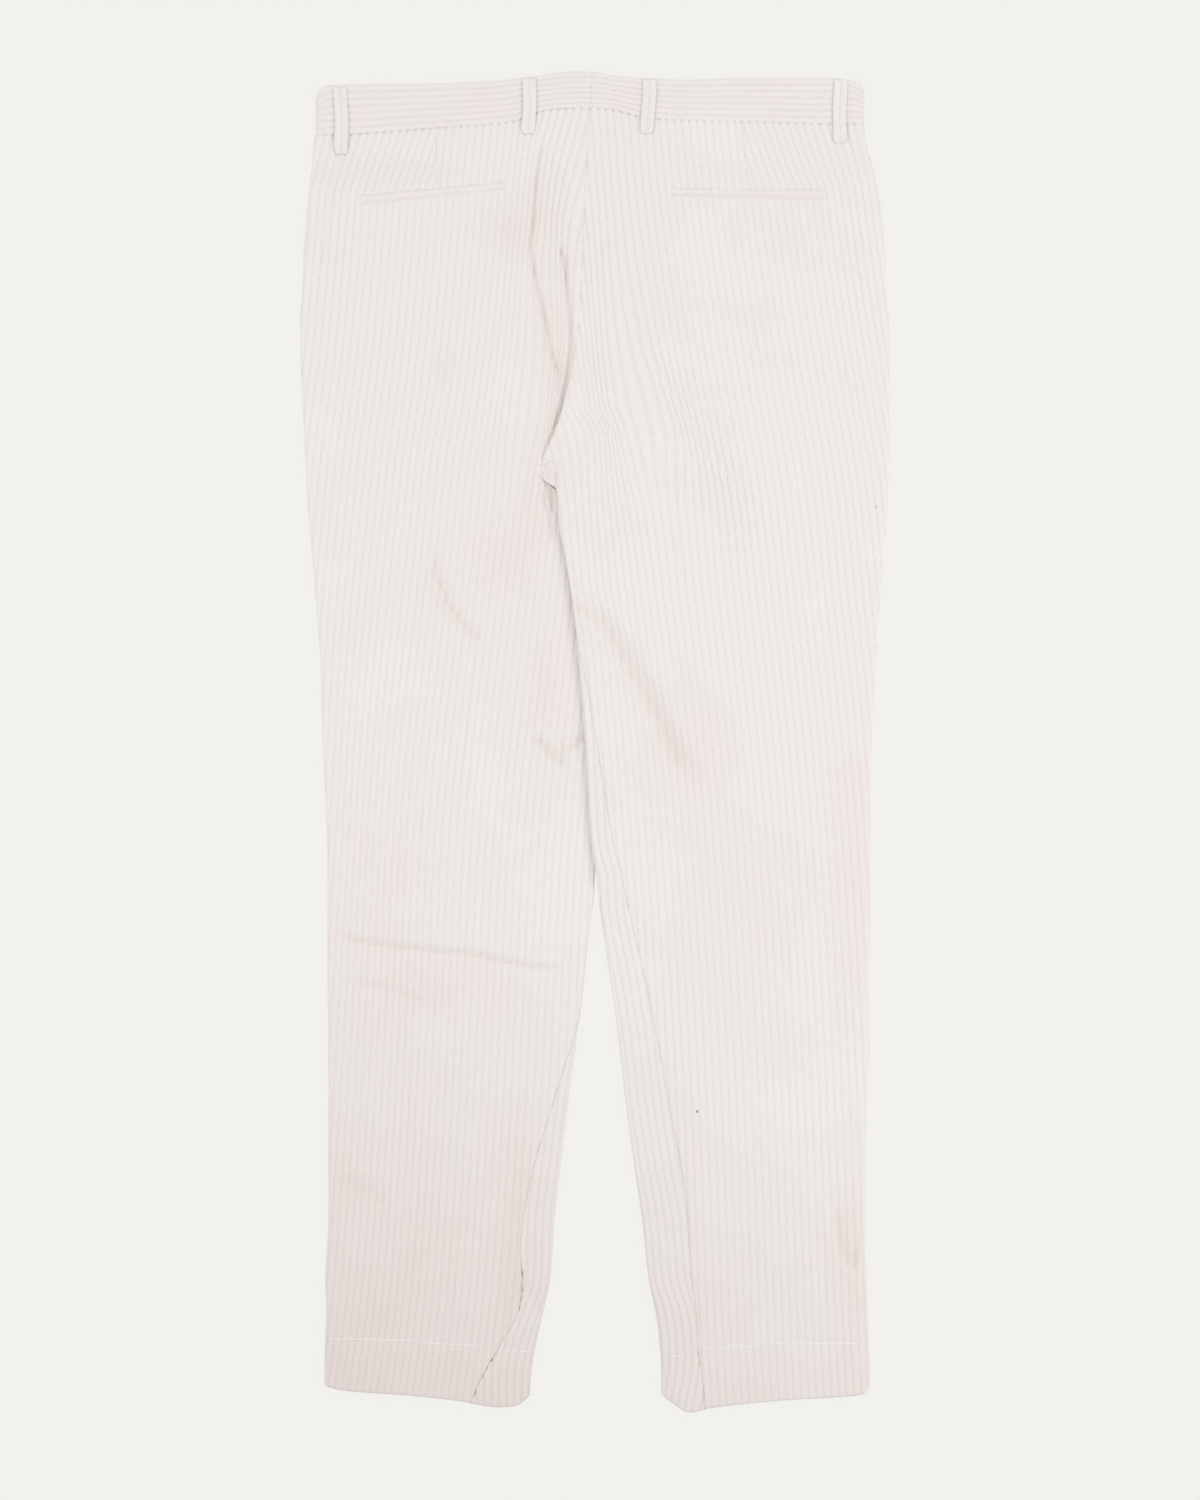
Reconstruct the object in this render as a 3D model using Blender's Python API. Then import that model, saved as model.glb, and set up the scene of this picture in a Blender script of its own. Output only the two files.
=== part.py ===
"""Corduroy trousers laid out flat, front down and back up.

The frame: +X is the right-hand side of the garment as it lies, +Y runs to the waist, +Z is up
and the floor is z = 0. The tables and sizes are in millimetres and are scaled to metres when a
mesh is made. Both legs are worked out in one local plan: u grows from a leg's outer fold to its
inner fold, so u = x on the left leg and u = -x on the right leg, and the two share all the rules.
"""

import math

import bpy

MM = 0.001

# ---------------------------------------------------------------- driving sizes, millimetres
WALE_PITCH = 6.0
WALE_RISE = 0.7
BACK_WALL = 2.0
FRONT_WALL = 1.6
BAND_WALL = 2.3
LOOP_WALL = 1.7
FRONT_LOOP_WALL = 1.1
WELT_WALL = 1.2
SEAM_GAP = 0.3
WAIST_GAP = 0.5
LIE_GAP = 0.4
LEG_HEIGHT = 6.4
UNDER_MARGIN = 1.6
OVER_LIFT = 5.3
OVER_STACK = 4.4
FOLD_RADIUS = 3.2
HEM_EXTRA = 0.9
HEM_DEPTH_Y = -482.0
BAND_LIFT = 1.5
BAND_SIDE_TOP = 7.2
BAND_CENTRE_TOP = 9.4
BAND_WALES = 6
FRONT_DIP = 12.0
FLY_LAP = 12.0
FLY_END_Y = 304.0
BAND_LAP_X = 26.0
CROTCH_Y = 222.0
DART_TIP_BELOW = 46.0
DART_TAKE = 8.4
LOOP_WIDTH = 12.8
INNER_POINTS = 15

# ---------------------------------------------------------------- outlines
# Outer folds: y, left x, right x.
SIDES = (
    (-540.0, -214.5, 219.5),
    (-502.0, -216.8, 220.0),
    (-454.0, -215.2, 218.4),
    (-430.0, -216.0, 217.6),
    (-382.0, -213.6, 216.0),
    (-334.0, -213.6, 216.8),
    (-286.0, -213.6, 218.4),
    (-238.0, -213.6, 220.0),
    (-190.0, -214.4, 219.2),
    (-142.0, -214.4, 220.8),
    (-94.0, -214.4, 220.8),
    (-46.0, -216.0, 220.8),
    (2.0, -218.4, 221.6),
    (50.0, -219.2, 224.8),
    (98.0, -222.4, 227.2),
    (146.0, -226.4, 231.2),
    (194.0, -230.4, 234.4),
    (242.0, -232.8, 236.0),
    (290.0, -235.2, 236.0),
    (314.0, -236.0, 236.0),
    (338.0, -236.0, 235.2),
    (362.0, -234.4, 233.6),
    (386.0, -233.6, 232.8),
    (410.0, -231.8, 231.2),
    (434.0, -230.0, 228.0),
    (458.0, -227.2, 223.2),
    (482.0, -224.8, 216.8),
    (511.0, -222.4, 214.4),
    (516.0, -221.6, 213.6),
)

# Centre back seam above the crotch: y, x. The front's centre seam lies right under it.
CENTRE = (
    (222.0, -42.0),
    (232.0, -39.0),
    (242.0, -34.5),
    (258.0, -28.5),
    (274.0, -24.0),
    (296.0, -18.4),
    (330.0, -13.6),
    (394.0, -9.6),
    (434.0, -8.0),
    (510.0, -4.0),
    (536.0, -3.0),
)

# Inner folds of the legs: y, left x, right x. The right leg lies over the left where they cross.
INSIDES = (
    (-540.0, -53.0, 52.0),
    (-502.0, -50.4, 52.8),
    (-478.0, -46.4, 51.2),
    (-454.0, -40.8, 48.0),
    (-430.0, -35.6, 42.8),
    (-382.0, -32.0, 37.6),
    (-334.0, -26.4, 30.4),
    (-286.0, -20.8, 24.0),
    (-238.0, -14.4, 18.4),
    (-190.0, -8.6, 12.0),
    (-142.0, -3.2, 4.8),
    (-122.0, -0.6, 2.6),
    (-104.0, 0.2, 0.8),
    (-86.0, 1.6, -2.4),
    (-58.0, 1.2, -4.8),
    (-28.0, 1.5, -6.5),
    (0.0, 1.3, -8.2),
    (26.0, 0.5, -10.0),
    (52.0, -0.7, -12.2),
    (78.0, -3.0, -15.0),
    (102.0, -5.4, -17.6),
    (126.0, -9.8, -20.8),
    (150.0, -15.0, -25.0),
    (174.0, -22.4, -29.4),
    (196.0, -31.3, -30.7),
    (206.0, -33.5, -32.9),
    (214.0, -38.3, -37.7),
    (222.0, -42.3, -41.7),
)

# Where the inseam lies on top of a leg: y, then its distance in from the inner fold, left and right.
# Nothing under 3 mm counts: there the seam runs along the middle of the fold.
INSEAMS = (
    (-540.0, 50.0, 36.0),
    (-524.0, 46.0, 35.0),
    (-482.0, 29.0, 30.3),
    (-454.0, 20.0, 32.5),
    (-438.0, 21.0, 34.0),
    (-404.0, 26.0, 35.2),
    (-350.0, 23.0, 37.9),
    (-286.0, 12.0, 34.4),
    (-206.0, 0.0, 29.0),
    (-174.0, 0.0, 27.0),
    (-114.0, 0.0, 21.0),
    (-46.0, 0.0, 14.0),
    (34.0, 0.0, 6.0),
    (104.0, 0.0, 0.0),
    (222.0, 0.0, 0.0),
)

# Waist seam on the back, where the band begins: x, y.
WAIST = (
    (-224.0, 485.0),
    (-196.8, 485.6),
    (-148.8, 489.2),
    (-127.2, 490.8),
    (-85.6, 493.6),
    (-62.0, 497.6),
    (-40.0, 502.8),
    (-20.0, 505.6),
    (-4.8, 506.2),
    (16.0, 504.4),
    (34.0, 500.6),
    (52.0, 498.0),
    (90.0, 496.4),
    (126.4, 495.6),
    (190.4, 494.0),
    (216.0, 494.5),
)

# Places along each half of the back band where its section is cut, x.
BAND_CUTS = {
    "left": (-12, -20, -28, -36, -44, -52, -60, -68, -77, -88, -106, -127, -149, -173, -197),
    "right": (3, 11, 19, 27, 35, 43, 51, 61, 74, 90, 108, 126, 158, 190),
}

# Top edge of the band on the back: x, y.
BAND_TOP = (
    (-222.0, 523.0),
    (-210.0, 525.2),
    (-150.0, 526.0),
    (-84.0, 528.0),
    (-46.4, 532.4),
    (-20.0, 535.6),
    (-4.0, 535.4),
    (22.4, 531.6),
    (76.0, 529.2),
    (110.0, 530.4),
    (190.0, 530.6),
    (214.0, 527.6),
)

# Bottom edge of the hems: x, y.
HEMS = (
    (-216.0, -514.5),
    (-200.8, -518.0),
    (-148.8, -522.0),
    (-111.2, -526.0),
    (-76.0, -531.4),
    (-62.0, -530.0),
    (-53.0, -523.0),
    (0.0, -522.0),
    (52.0, -521.0),
    (60.0, -526.5),
    (76.0, -535.6),
    (92.0, -532.0),
    (148.0, -526.0),
    (212.8, -521.5),
    (221.0, -514.5),
)

# Lean of the wales, degrees off the leg's length: y, left, right.
# A wale going down the leg moves toward the outer fold.
LEANS = (
    (-540.0, 10.0, 5.0),
    (-490.0, 9.0, 4.0),
    (-426.0, 5.5, 3.0),
    (-362.0, 4.0, 3.0),
    (-298.0, 3.5, 3.0),
    (-234.0, 3.0, 3.5),
    (-170.0, 2.7, 4.0),
    (-106.0, 3.7, 4.0),
    (-42.0, 5.8, 4.5),
    (22.0, 7.5, 6.0),
    (86.0, 6.8, 7.5),
    (150.0, 6.5, 6.0),
    (214.0, 6.3, 8.0),
    (246.0, 8.5, 11.5),
    (278.0, 7.5, 10.5),
    (326.0, 6.0, 9.0),
    (374.0, 5.0, 7.5),
    (422.0, 5.0, 7.0),
    (470.0, 9.0, 6.0),
    (540.0, 9.0, 6.0),
)

# Folds and creases: side, height of the middle, half width, then points x, y along it.
CREASES = (
    ("left", -1.2, 8.0, ((-44, 492), (-46, 434), (-48, 402), (-44, 362), (-38, 322), (-32, 276))),
    ("left", -1.5, 7.0, ((-27, 402), (-23, 362), (-21, 322), (-22, 298), (-27, 274), (-34, 248))),
    ("left", 0.8, 9.0, ((-60, 452), (-64, 402), (-60, 350), (-52, 300), (-48, 262))),
    ("left", -1.2, 10.0, ((-140, 190), (-133, 149), (-123, 120), (-110, 99), (-92, 81))),
    ("left", 0.7, 10.0, ((-122, 176), (-114, 140), (-103, 116), (-86, 100))),
    ("right", -1.2, 10.0, ((20, 356), (37, 327), (56, 290), (77, 257), (96, 216))),
    ("right", 0.8, 10.0, ((42, 350), (58, 318), (78, 284), (98, 250))),
    ("right", -1.4, 10.0, ((14, 92), (31, 56), (45, 25), (59, -5), (76, -40))),
    ("right", 0.9, 10.0, ((34, 96), (50, 60), (64, 30), (78, 2), (92, -26))),
)

# Belt loops on the back: name, x at the top, x at the bottom, y at the top, y at the bottom.
BACK_LOOPS = (
    ("belt_loop_side_left", -203.2, -202.4, 523.4, 470.0),
    ("belt_loop_back_left", -52.0, -53.2, 530.2, 486.4),
    ("belt_loop_back_right", 43.6, 41.6, 529.4, 486.4),
    ("belt_loop_side_right", 196.0, 195.2, 529.6, 479.0),
)

# Belt loops on the front: name, x.
FRONT_LOOPS = (
    ("belt_loop_front_left", -112.0),
    ("belt_loop_front_right", 112.0),
)

# Back pocket welts: name, side, then x, lower y and upper y at the left end and at the right end.
WELTS = (
    ("back_pocket_welt_left", "left", -188.8, 427.8, 436.4, -71.2, 440.6, 447.6),
    ("back_pocket_welt_right", "right", 59.2, 436.0, 442.6, 183.6, 431.8, 440.8),
)

# Rows of points down a panel: y, share of the waist's curve, share of the hem's curve.
ROWS = (
    (492.0, 1.0, 0.0),
    (468.0, 0.75, 0.0),
    (436.0, 0.35, 0.0),
    (400.0, 0.1, 0.0),
    (364.0, 0.0, 0.0),
    (332.0, 0.0, 0.0),
    (302.0, 0.0, 0.0),
    (275.0, 0.0, 0.0),
    (252.0, 0.0, 0.0),
    (235.0, 0.0, 0.0),
    (222.0, 0.0, 0.0),
    (206.0, 0.0, 0.0),
    (196.0, 0.0, 0.0),
    (174.0, 0.0, 0.0),
    (147.0, 0.0, 0.0),
    (120.0, 0.0, 0.0),
    (92.0, 0.0, 0.0),
    (64.0, 0.0, 0.0),
    (36.0, 0.0, 0.0),
    (8.0, 0.0, 0.0),
    (-22.0, 0.0, 0.0),
    (-60.0, 0.0, 0.0),
    (-104.0, 0.0, 0.0),
    (-122.0, 0.0, 0.0),
    (-142.0, 0.0, 0.0),
    (-215.0, 0.0, 0.0),
    (-290.0, 0.0, 0.0),
    (-355.0, 0.0, 0.0),
    (-410.0, 0.0, 0.1),
    (-446.0, 0.0, 0.3),
    (-478.0, 0.0, 0.6),
    (-486.0, 0.0, 0.7),
    (-524.0, 0.0, 1.0),
)


# ---------------------------------------------------------------- curves through the tables
def slopes(xs, ys):
    """Slopes for a smooth curve that never overshoots the table it runs through."""
    steps = [(ys[i + 1] - ys[i]) / (xs[i + 1] - xs[i]) for i in range(len(xs) - 1)]
    found = [steps[0]]
    for before, after in zip(steps, steps[1:]):
        if before * after <= 0.0:
            found.append(0.0)
        else:
            found.append(2.0 * before * after / (before + after))
    found.append(steps[-1])
    return found


def curve(table, column):
    """A smooth function of a table's first column."""
    xs = [row[0] for row in table]
    ys = [row[column] for row in table]
    tangents = slopes(xs, ys)

    def value(at):
        if at <= xs[0]:
            return ys[0]
        if at >= xs[-1]:
            return ys[-1]
        i = 0
        while at > xs[i + 1]:
            i += 1
        width = xs[i + 1] - xs[i]
        t = (at - xs[i]) / width
        a = (1.0 + 2.0 * t) * (1.0 - t) ** 2
        b = t * (1.0 - t) ** 2
        c = t * t * (3.0 - 2.0 * t)
        d = t * t * (t - 1.0)
        return a * ys[i] + b * width * tangents[i] + c * ys[i + 1] + d * width * tangents[i + 1]

    return value


def smooth(low, high, at):
    """0 below low, 1 above high and a soft S between them."""
    t = min(1.0, max(0.0, (at - low) / (high - low)))
    return t * t * (3.0 - 2.0 * t)


LEFT_SIDE = curve(SIDES, 1)
RIGHT_SIDE = curve(SIDES, 2)
LEFT_INSIDE = curve(INSIDES, 1)
RIGHT_INSIDE = curve(INSIDES, 2)
LEFT_INSEAM = curve(INSEAMS, 1)
RIGHT_INSEAM = curve(INSEAMS, 2)
CENTRE_X = curve(CENTRE, 1)
WAIST_Y = curve(WAIST, 1)
BAND_TOP_Y = curve(BAND_TOP, 1)
HEM_Y = curve(HEMS, 1)
WAIST_LEVEL = 492.0
HEM_LEVEL = -524.0


def front_dip(x):
    """How far the front's waist lies below the level of its ends."""
    return FRONT_DIP * max(0.0, 1.0 - abs(x + 4.0) / 220.0)


def front_waist(x):
    ends = 485.0 + 9.5 * (x + 224.0) / 440.0
    return ends - front_dip(x)


# ---------------------------------------------------------------- one leg's plan
class Leg:
    """One half of the trousers, in its own plan where u grows from the outer to the inner fold."""

    def __init__(self, side):
        self.side = side
        self.left = side == "left"
        self.turn = 1.0 if self.left else -1.0
        self.shift = self.wale_shifts()

    def x(self, u):
        return self.turn * u

    def outer(self, y):
        return LEFT_SIDE(y) if self.left else -RIGHT_SIDE(y)

    def inner(self, y):
        """The inner limit of the leg: the centre seam above the crotch, the inner fold below it."""
        if y > CROTCH_Y - 0.5:
            return self.turn * CENTRE_X(y) - SEAM_GAP / 2.0
        return LEFT_INSIDE(y) if self.left else -RIGHT_INSIDE(y)

    def inseam(self, y):
        found = LEFT_INSEAM(y) if self.left else RIGHT_INSEAM(y)
        return found if found > 3.0 else 0.0

    def wale_shifts(self):
        """How far every wale has moved at each millimetre down from the waist."""
        lean = curve(LEANS, 1 if self.left else 2)
        found = [0.0]
        for step in range(1100):
            angle = math.radians(lean(540.0 - step))
            found.append(found[-1] - math.tan(angle))
        return found

    def wale_u(self, number, y):
        """The plan position of a wale at a level."""
        at = min(1099.0, max(0.0, 540.0 - y))
        i = int(at)
        part = at - i
        shift = self.shift[i] * (1.0 - part) + self.shift[i + 1] * part
        return shift + WALE_PITCH * number

    def dart(self, y):
        """The plan position of the dart, and how much cloth it has taken in at this level."""
        x = -128.0 if self.left else 119.0 + (492.0 - y) * 0.08
        top = WAIST_Y(x)
        take = DART_TAKE * min(1.0, max(0.0, (y - top + DART_TIP_BELOW) / DART_TIP_BELOW))
        return self.turn * x, take


LEGS = {side: Leg(side) for side in ("left", "right")}


# ---------------------------------------------------------------- heights of the two layers
def over(y):
    """1 where the right leg's inner edge lies on the left leg's, 0 where the two lie side by side."""
    return smooth(222.0, 197.0, y) * smooth(-138.0, -104.0, y)


def distance_to(points, x, y):
    """Distance to a line of points, and how far along the line the nearest place is, 0 to 1."""
    best = 1e9
    place = 0.0
    count = len(points) - 1
    for i in range(count):
        ax, ay = points[i]
        bx, by = points[i + 1]
        dx = bx - ax
        dy = by - ay
        t = ((x - ax) * dx + (y - ay) * dy) / (dx * dx + dy * dy)
        t = min(1.0, max(0.0, t))
        found = math.hypot(x - ax - t * dx, y - ay - t * dy)
        if found < best:
            best = found
            place = (i + t) / count
    return best, place


def creases(side, x, y):
    total = 0.0
    for where, height, width, points in CREASES:
        if where != side:
            continue
        away, place = distance_to(points, x, y)
        if away < 2.5 * width:
            fade = smooth(0.0, 0.3, place) * smooth(0.0, 0.3, 1.0 - place)
            total += height * fade * math.exp(-((away / width) ** 2))
    return total


def band_height(x):
    """Height of the back band's outer face: it rises over the closed front."""
    middle = smooth(-46.0, -8.0, x) * smooth(82.0, 40.0, x)
    return BAND_SIDE_TOP + (BAND_CENTRE_TOP - BAND_SIDE_TOP) * middle


def front_height(leg, u, y):
    """Height of the front panel's outer face: 0 where it rests."""
    x = leg.x(u)
    below = front_waist(x) - y
    height = BAND_LIFT * smooth(36.0, 20.0, below)
    if leg.left:
        return height
    away = x - CENTRE_X(max(y, CROTCH_Y))
    fly = smooth(FLY_LAP + 13.0, FLY_LAP + 1.0, away) * smooth(FLY_END_Y - 30.0, FLY_END_Y - 8.0, y)
    height += (FRONT_WALL + LIE_GAP) * fly
    rise = smooth(LEFT_INSIDE(y) + 26.0, LEFT_INSIDE(y) + 4.0, x)
    return max(height, OVER_LIFT * over(y) * rise)


def inside_front(leg, u, y):
    return front_height(leg, u, y) + FRONT_WALL + hem_extra(y)


def hem_extra(y):
    return HEM_EXTRA * smooth(HEM_DEPTH_Y + 3.0, HEM_DEPTH_Y - 3.0, y)


def back_height(leg, u, y):
    """Height of the back panel's outer face along the tops of its wales."""
    x = leg.x(u)
    below = WAIST_Y(x) - y
    to_band = band_height(x) - 0.4 - LEG_HEIGHT
    height = LEG_HEIGHT + to_band * smooth(95.0, 4.0, below)
    if leg.left:
        margin = smooth(222.0, 206.0, y) * smooth(-150.0, -112.0, y)
        height -= UNDER_MARGIN * margin * smooth(RIGHT_INSIDE(y) - 30.0, RIGHT_INSIDE(y) - 3.0, x)
    else:
        rise = smooth(LEFT_INSIDE(y) + 42.0, LEFT_INSIDE(y) + 6.0, x)
        height += (OVER_LIFT + OVER_STACK - LEG_HEIGHT) * over(y) * rise
    window = smooth(4.0, 16.0, u - leg.outer(y))
    if y < CROTCH_Y:
        window *= smooth(4.0, 16.0, leg.inner(y) - u)
    height += window * creases(leg.side, x, y)
    least = inside_front(leg, u, y) + LIE_GAP + BACK_WALL + hem_extra(y)
    return max(height, least)


def inside_back(leg, u, y):
    """Height of the back panel's plain inner face: it keeps under the lowest place near by."""
    lowest = min(back_height(leg, u + near, y) for near in (-4.0, 0.0, 4.0))
    least = inside_front(leg, u, y) + LIE_GAP
    return max(lowest - BACK_WALL - hem_extra(y), least)


# ---------------------------------------------------------------- rows of a panel
def row_y(row, u, leg, front):
    level, waist, hem = row
    x = leg.x(u)
    found = level
    if waist > 0.0:
        edge = front_waist(x) if front else WAIST_Y(x)
        found += waist * (edge - WAIST_LEVEL)
        if waist == 1.0:
            found -= WAIST_GAP / 2.0
    if hem > 0.0:
        found += hem * (HEM_Y(x) - HEM_LEVEL)
    return found


def edge_of(find, row, leg, front):
    """The u of a leg's fold and the y of a row there."""
    y = row[0]
    for _ in range(4):
        u = find(y)
        y = row_y(row, u, leg, front)
    return find(y), y


def fold_points(leg, edge, y, inward, angles, inner_face):
    """Points round a fold: angle 90 is its top, 0 its outermost line and -90 its underside."""
    at = edge + inward * FOLD_RADIUS
    low = front_height(leg, at, y)
    high = back_height(leg, at, y)
    radius = min(FOLD_RADIUS, (high - low) / 2.0)
    at = edge + inward * radius
    low = front_height(leg, at, y)
    high = back_height(leg, at, y)
    reach = radius
    if inner_face:
        low += FRONT_WALL + hem_extra(y)
        high -= BACK_WALL + hem_extra(y)
        reach = max(0.5, radius - FRONT_WALL)
    middle = (low + high) / 2.0
    half = (high - low) / 2.0
    found = []
    for angle in angles:
        if abs(angle) < 1.0:
            wanted = math.copysign(SEAM_GAP / 2.0, angle)
            angle = math.degrees(math.asin(min(0.9, max(-0.9, wanted / half))))
        a = math.radians(angle)
        u = edge + inward * (radius - reach * math.cos(a))
        found.append((u, y, middle + half * math.sin(a)))
    return found


def fold_top(leg, edge, y, inward):
    return fold_points(leg, edge, y, inward, (90.0,), False)[0][0]


def wales_between(leg, row, low, high):
    """Ridges and grooves of the wales between two plan positions: key, u, y, depth."""
    found = []
    for half in range(-120, 160):
        number = half / 2.0
        u = leg.wale_u(number, row[0])
        for _ in range(4):
            y = row_y(row, u, leg, False)
            u = leg.wale_u(number, y)
            dart, take = leg.dart(y)
            if take > 0.0 and u + take < dart + take:
                pulled = u + take * smooth(104.0, 40.0, dart - u)
                u = pulled if u < dart else u
        y = row_y(row, u, leg, False)
        dart, take = leg.dart(y)
        if take > 0.0 and abs(u - dart) < 1.4:
            continue
        if take > 0.0 and leg.wale_u(number, y) < dart < u:
            continue
        if low + 1.3 < u < high - 1.3:
            found.append((number, u, y, WALE_RISE if half % 2 else 0.0))
    dart, take = leg.dart(row_y(row, leg.dart(row[0])[0], leg, False))
    if take > 0.0 and low < dart < high:
        left = [item for item in found if item[1] < dart]
        right = [item for item in found if item[1] > dart]
        key = (left[-1][0] + right[0][0]) / 2.0
        y = row_y(row, dart, leg, False)
        found = left + [(key, dart, y, WALE_RISE + 0.1)] + right
    return found


def wale_key(leg, u, y):
    return (u - leg.wale_u(0.0, y)) / WALE_PITCH


def spread(low, high, count):
    return [low + (high - low) * i / (count - 1) for i in range(count)]


def back_row(leg, row):
    """One row of a back panel: blocks of (key, point) for its outer face and its inner face."""
    edge, edge_y = edge_of(leg.outer, row, leg, False)
    end, end_y = edge_of(leg.inner, row, leg, False)
    seam = leg.inseam(end_y) if end_y < CROTCH_Y - 0.5 else 0.0
    folded = end_y < CROTCH_Y - 0.5 and seam == 0.0
    start = fold_top(leg, edge, edge_y, 1.0)
    if folded:
        stop = fold_top(leg, end, end_y, -1.0)
    elif seam:
        stop = end - seam - SEAM_GAP / 2.0
    else:
        stop = end
    angles = (0.1, 45.0, 90.0)
    outer = [list(zip(angles, fold_points(leg, edge, edge_y, 1.0, angles, False)))]
    inner = [list(zip(angles, fold_points(leg, edge, edge_y, 1.0, angles, True)))]
    top = [(wale_key(leg, start, edge_y), outer[0][-1][1])]
    for key, u, y, depth in wales_between(leg, row, start, stop):
        top.append((key, (u, y, back_height(leg, u, y) - depth)))
    under = [(0.0, inner[0][-1][1])]
    for i, u in enumerate(spread(start, stop, INNER_POINTS)[1:-1]):
        y = row_y(row, u, leg, False)
        under.append((i + 1.0, (u, y, inside_back(leg, u, y))))
    last = INNER_POINTS - 1.0
    if folded:
        ends = (90.0, 45.0, 0.1)
        keys = (0.0, 45.0, 90.0)
        round_out = fold_points(leg, end, end_y, -1.0, ends, False)
        round_in = fold_points(leg, end, end_y, -1.0, ends, True)
        top.append((wale_key(leg, stop, end_y), round_out[0]))
        under.append((last, round_in[0]))
        outer += [top, list(zip(keys, round_out))]
        inner += [under, list(zip(keys, round_in))]
    else:
        y = row_y(row, stop, leg, False)
        top.append((wale_key(leg, stop, y), (stop, y, back_height(leg, stop, y) - WALE_RISE / 2.0)))
        under.append((last, (stop, y, inside_back(leg, stop, y))))
        outer += [top, [(0.0, top[-1][1])]]
        inner += [under, [(0.0, under[-1][1])]]
    return outer, inner


def front_row(leg, row):
    """One row of a front panel, from the side seam round under the leg to the inseam."""
    edge, edge_y = edge_of(leg.outer, row, leg, True)
    end, end_y = edge_of(leg.inner, row, leg, True)
    below = end_y < CROTCH_Y - 0.5
    seam = leg.inseam(end_y) if below else 0.0
    angles = (-0.1, -45.0, -90.0)
    outer = [list(zip((0.0, 45.0, 90.0), fold_points(leg, edge, edge_y, 1.0, angles, False)))]
    inner = [list(zip((0.0, 45.0, 90.0), fold_points(leg, edge, edge_y, 1.0, angles, True)))]
    start = outer[0][-1][1][0]
    if below:
        stop = fold_top(leg, end, end_y, -1.0)
    else:
        stop = end
        if leg.left:
            lap = smooth(FLY_END_Y, FLY_END_Y + 20.0, end_y)
            stop += FLY_LAP * lap
    flat = [(0.0, outer[0][-1][1])]
    under = [(0.0, inner[0][-1][1])]
    shares = (0.2, 0.4, 0.6, 0.74, 0.82, 0.87, 0.91, 0.945, 0.975) if not leg.left else (0.2, 0.4, 0.6, 0.8)
    for i, share in enumerate(shares):
        u = start + (stop - start) * share
        y = row_y(row, u, leg, True)
        flat.append((i + 1.0, (u, y, front_height(leg, u, y))))
        under.append((i + 1.0, (u, y, inside_front(leg, u, y))))
    last = len(shares) + 1.0
    if not below:
        y = row_y(row, stop, leg, True)
        flat.append((last, (stop, y, front_height(leg, stop, y))))
        under.append((last, (stop, y, inside_front(leg, stop, y))))
        outer += [flat, [(0.0, flat[-1][1])], [(0.0, flat[-1][1])]]
        inner += [under, [(0.0, under[-1][1])], [(0.0, under[-1][1])]]
        return outer, inner
    ends = (-90.0, -45.0, -0.1) if not seam else (-90.0, -40.0, 15.0, 90.0)
    keys = (0.0, 45.0, 90.0) if not seam else (0.0, 45.0, 90.0, 180.0)
    round_out = fold_points(leg, end, end_y, -1.0, ends, False)
    round_in = fold_points(leg, end, end_y, -1.0, ends, True)
    flat.append((last, round_out[0]))
    under.append((last, round_in[0]))
    outer += [flat, list(zip(keys, round_out))]
    inner += [under, list(zip(keys, round_in))]
    if not seam:
        outer.append([(0.0, round_out[-1])])
        inner.append([(0.0, round_in[-1])])
        return outer, inner
    final = end - seam + SEAM_GAP / 2.0
    over_top = [(-wale_key(leg, stop, end_y), round_out[-1])]
    for key, u, y, depth in reversed(wales_between(leg, row, final, stop)):
        over_top.append((-key, (u, y, back_height(leg, u, y) - depth)))
    y = row_y(row, final, leg, False)
    over_top.append((-wale_key(leg, final, y), (final, y, back_height(leg, final, y) - WALE_RISE / 2.0)))
    outer.append(over_top)
    lid = [(0.0, round_in[-1])]
    for i, u in enumerate(spread(stop, final, 3)[1:]):
        y = row_y(row, u, leg, False)
        lid.append((i + 1.0, (u, y, inside_back(leg, u, y))))
    inner.append(lid)
    return outer, inner


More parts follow.
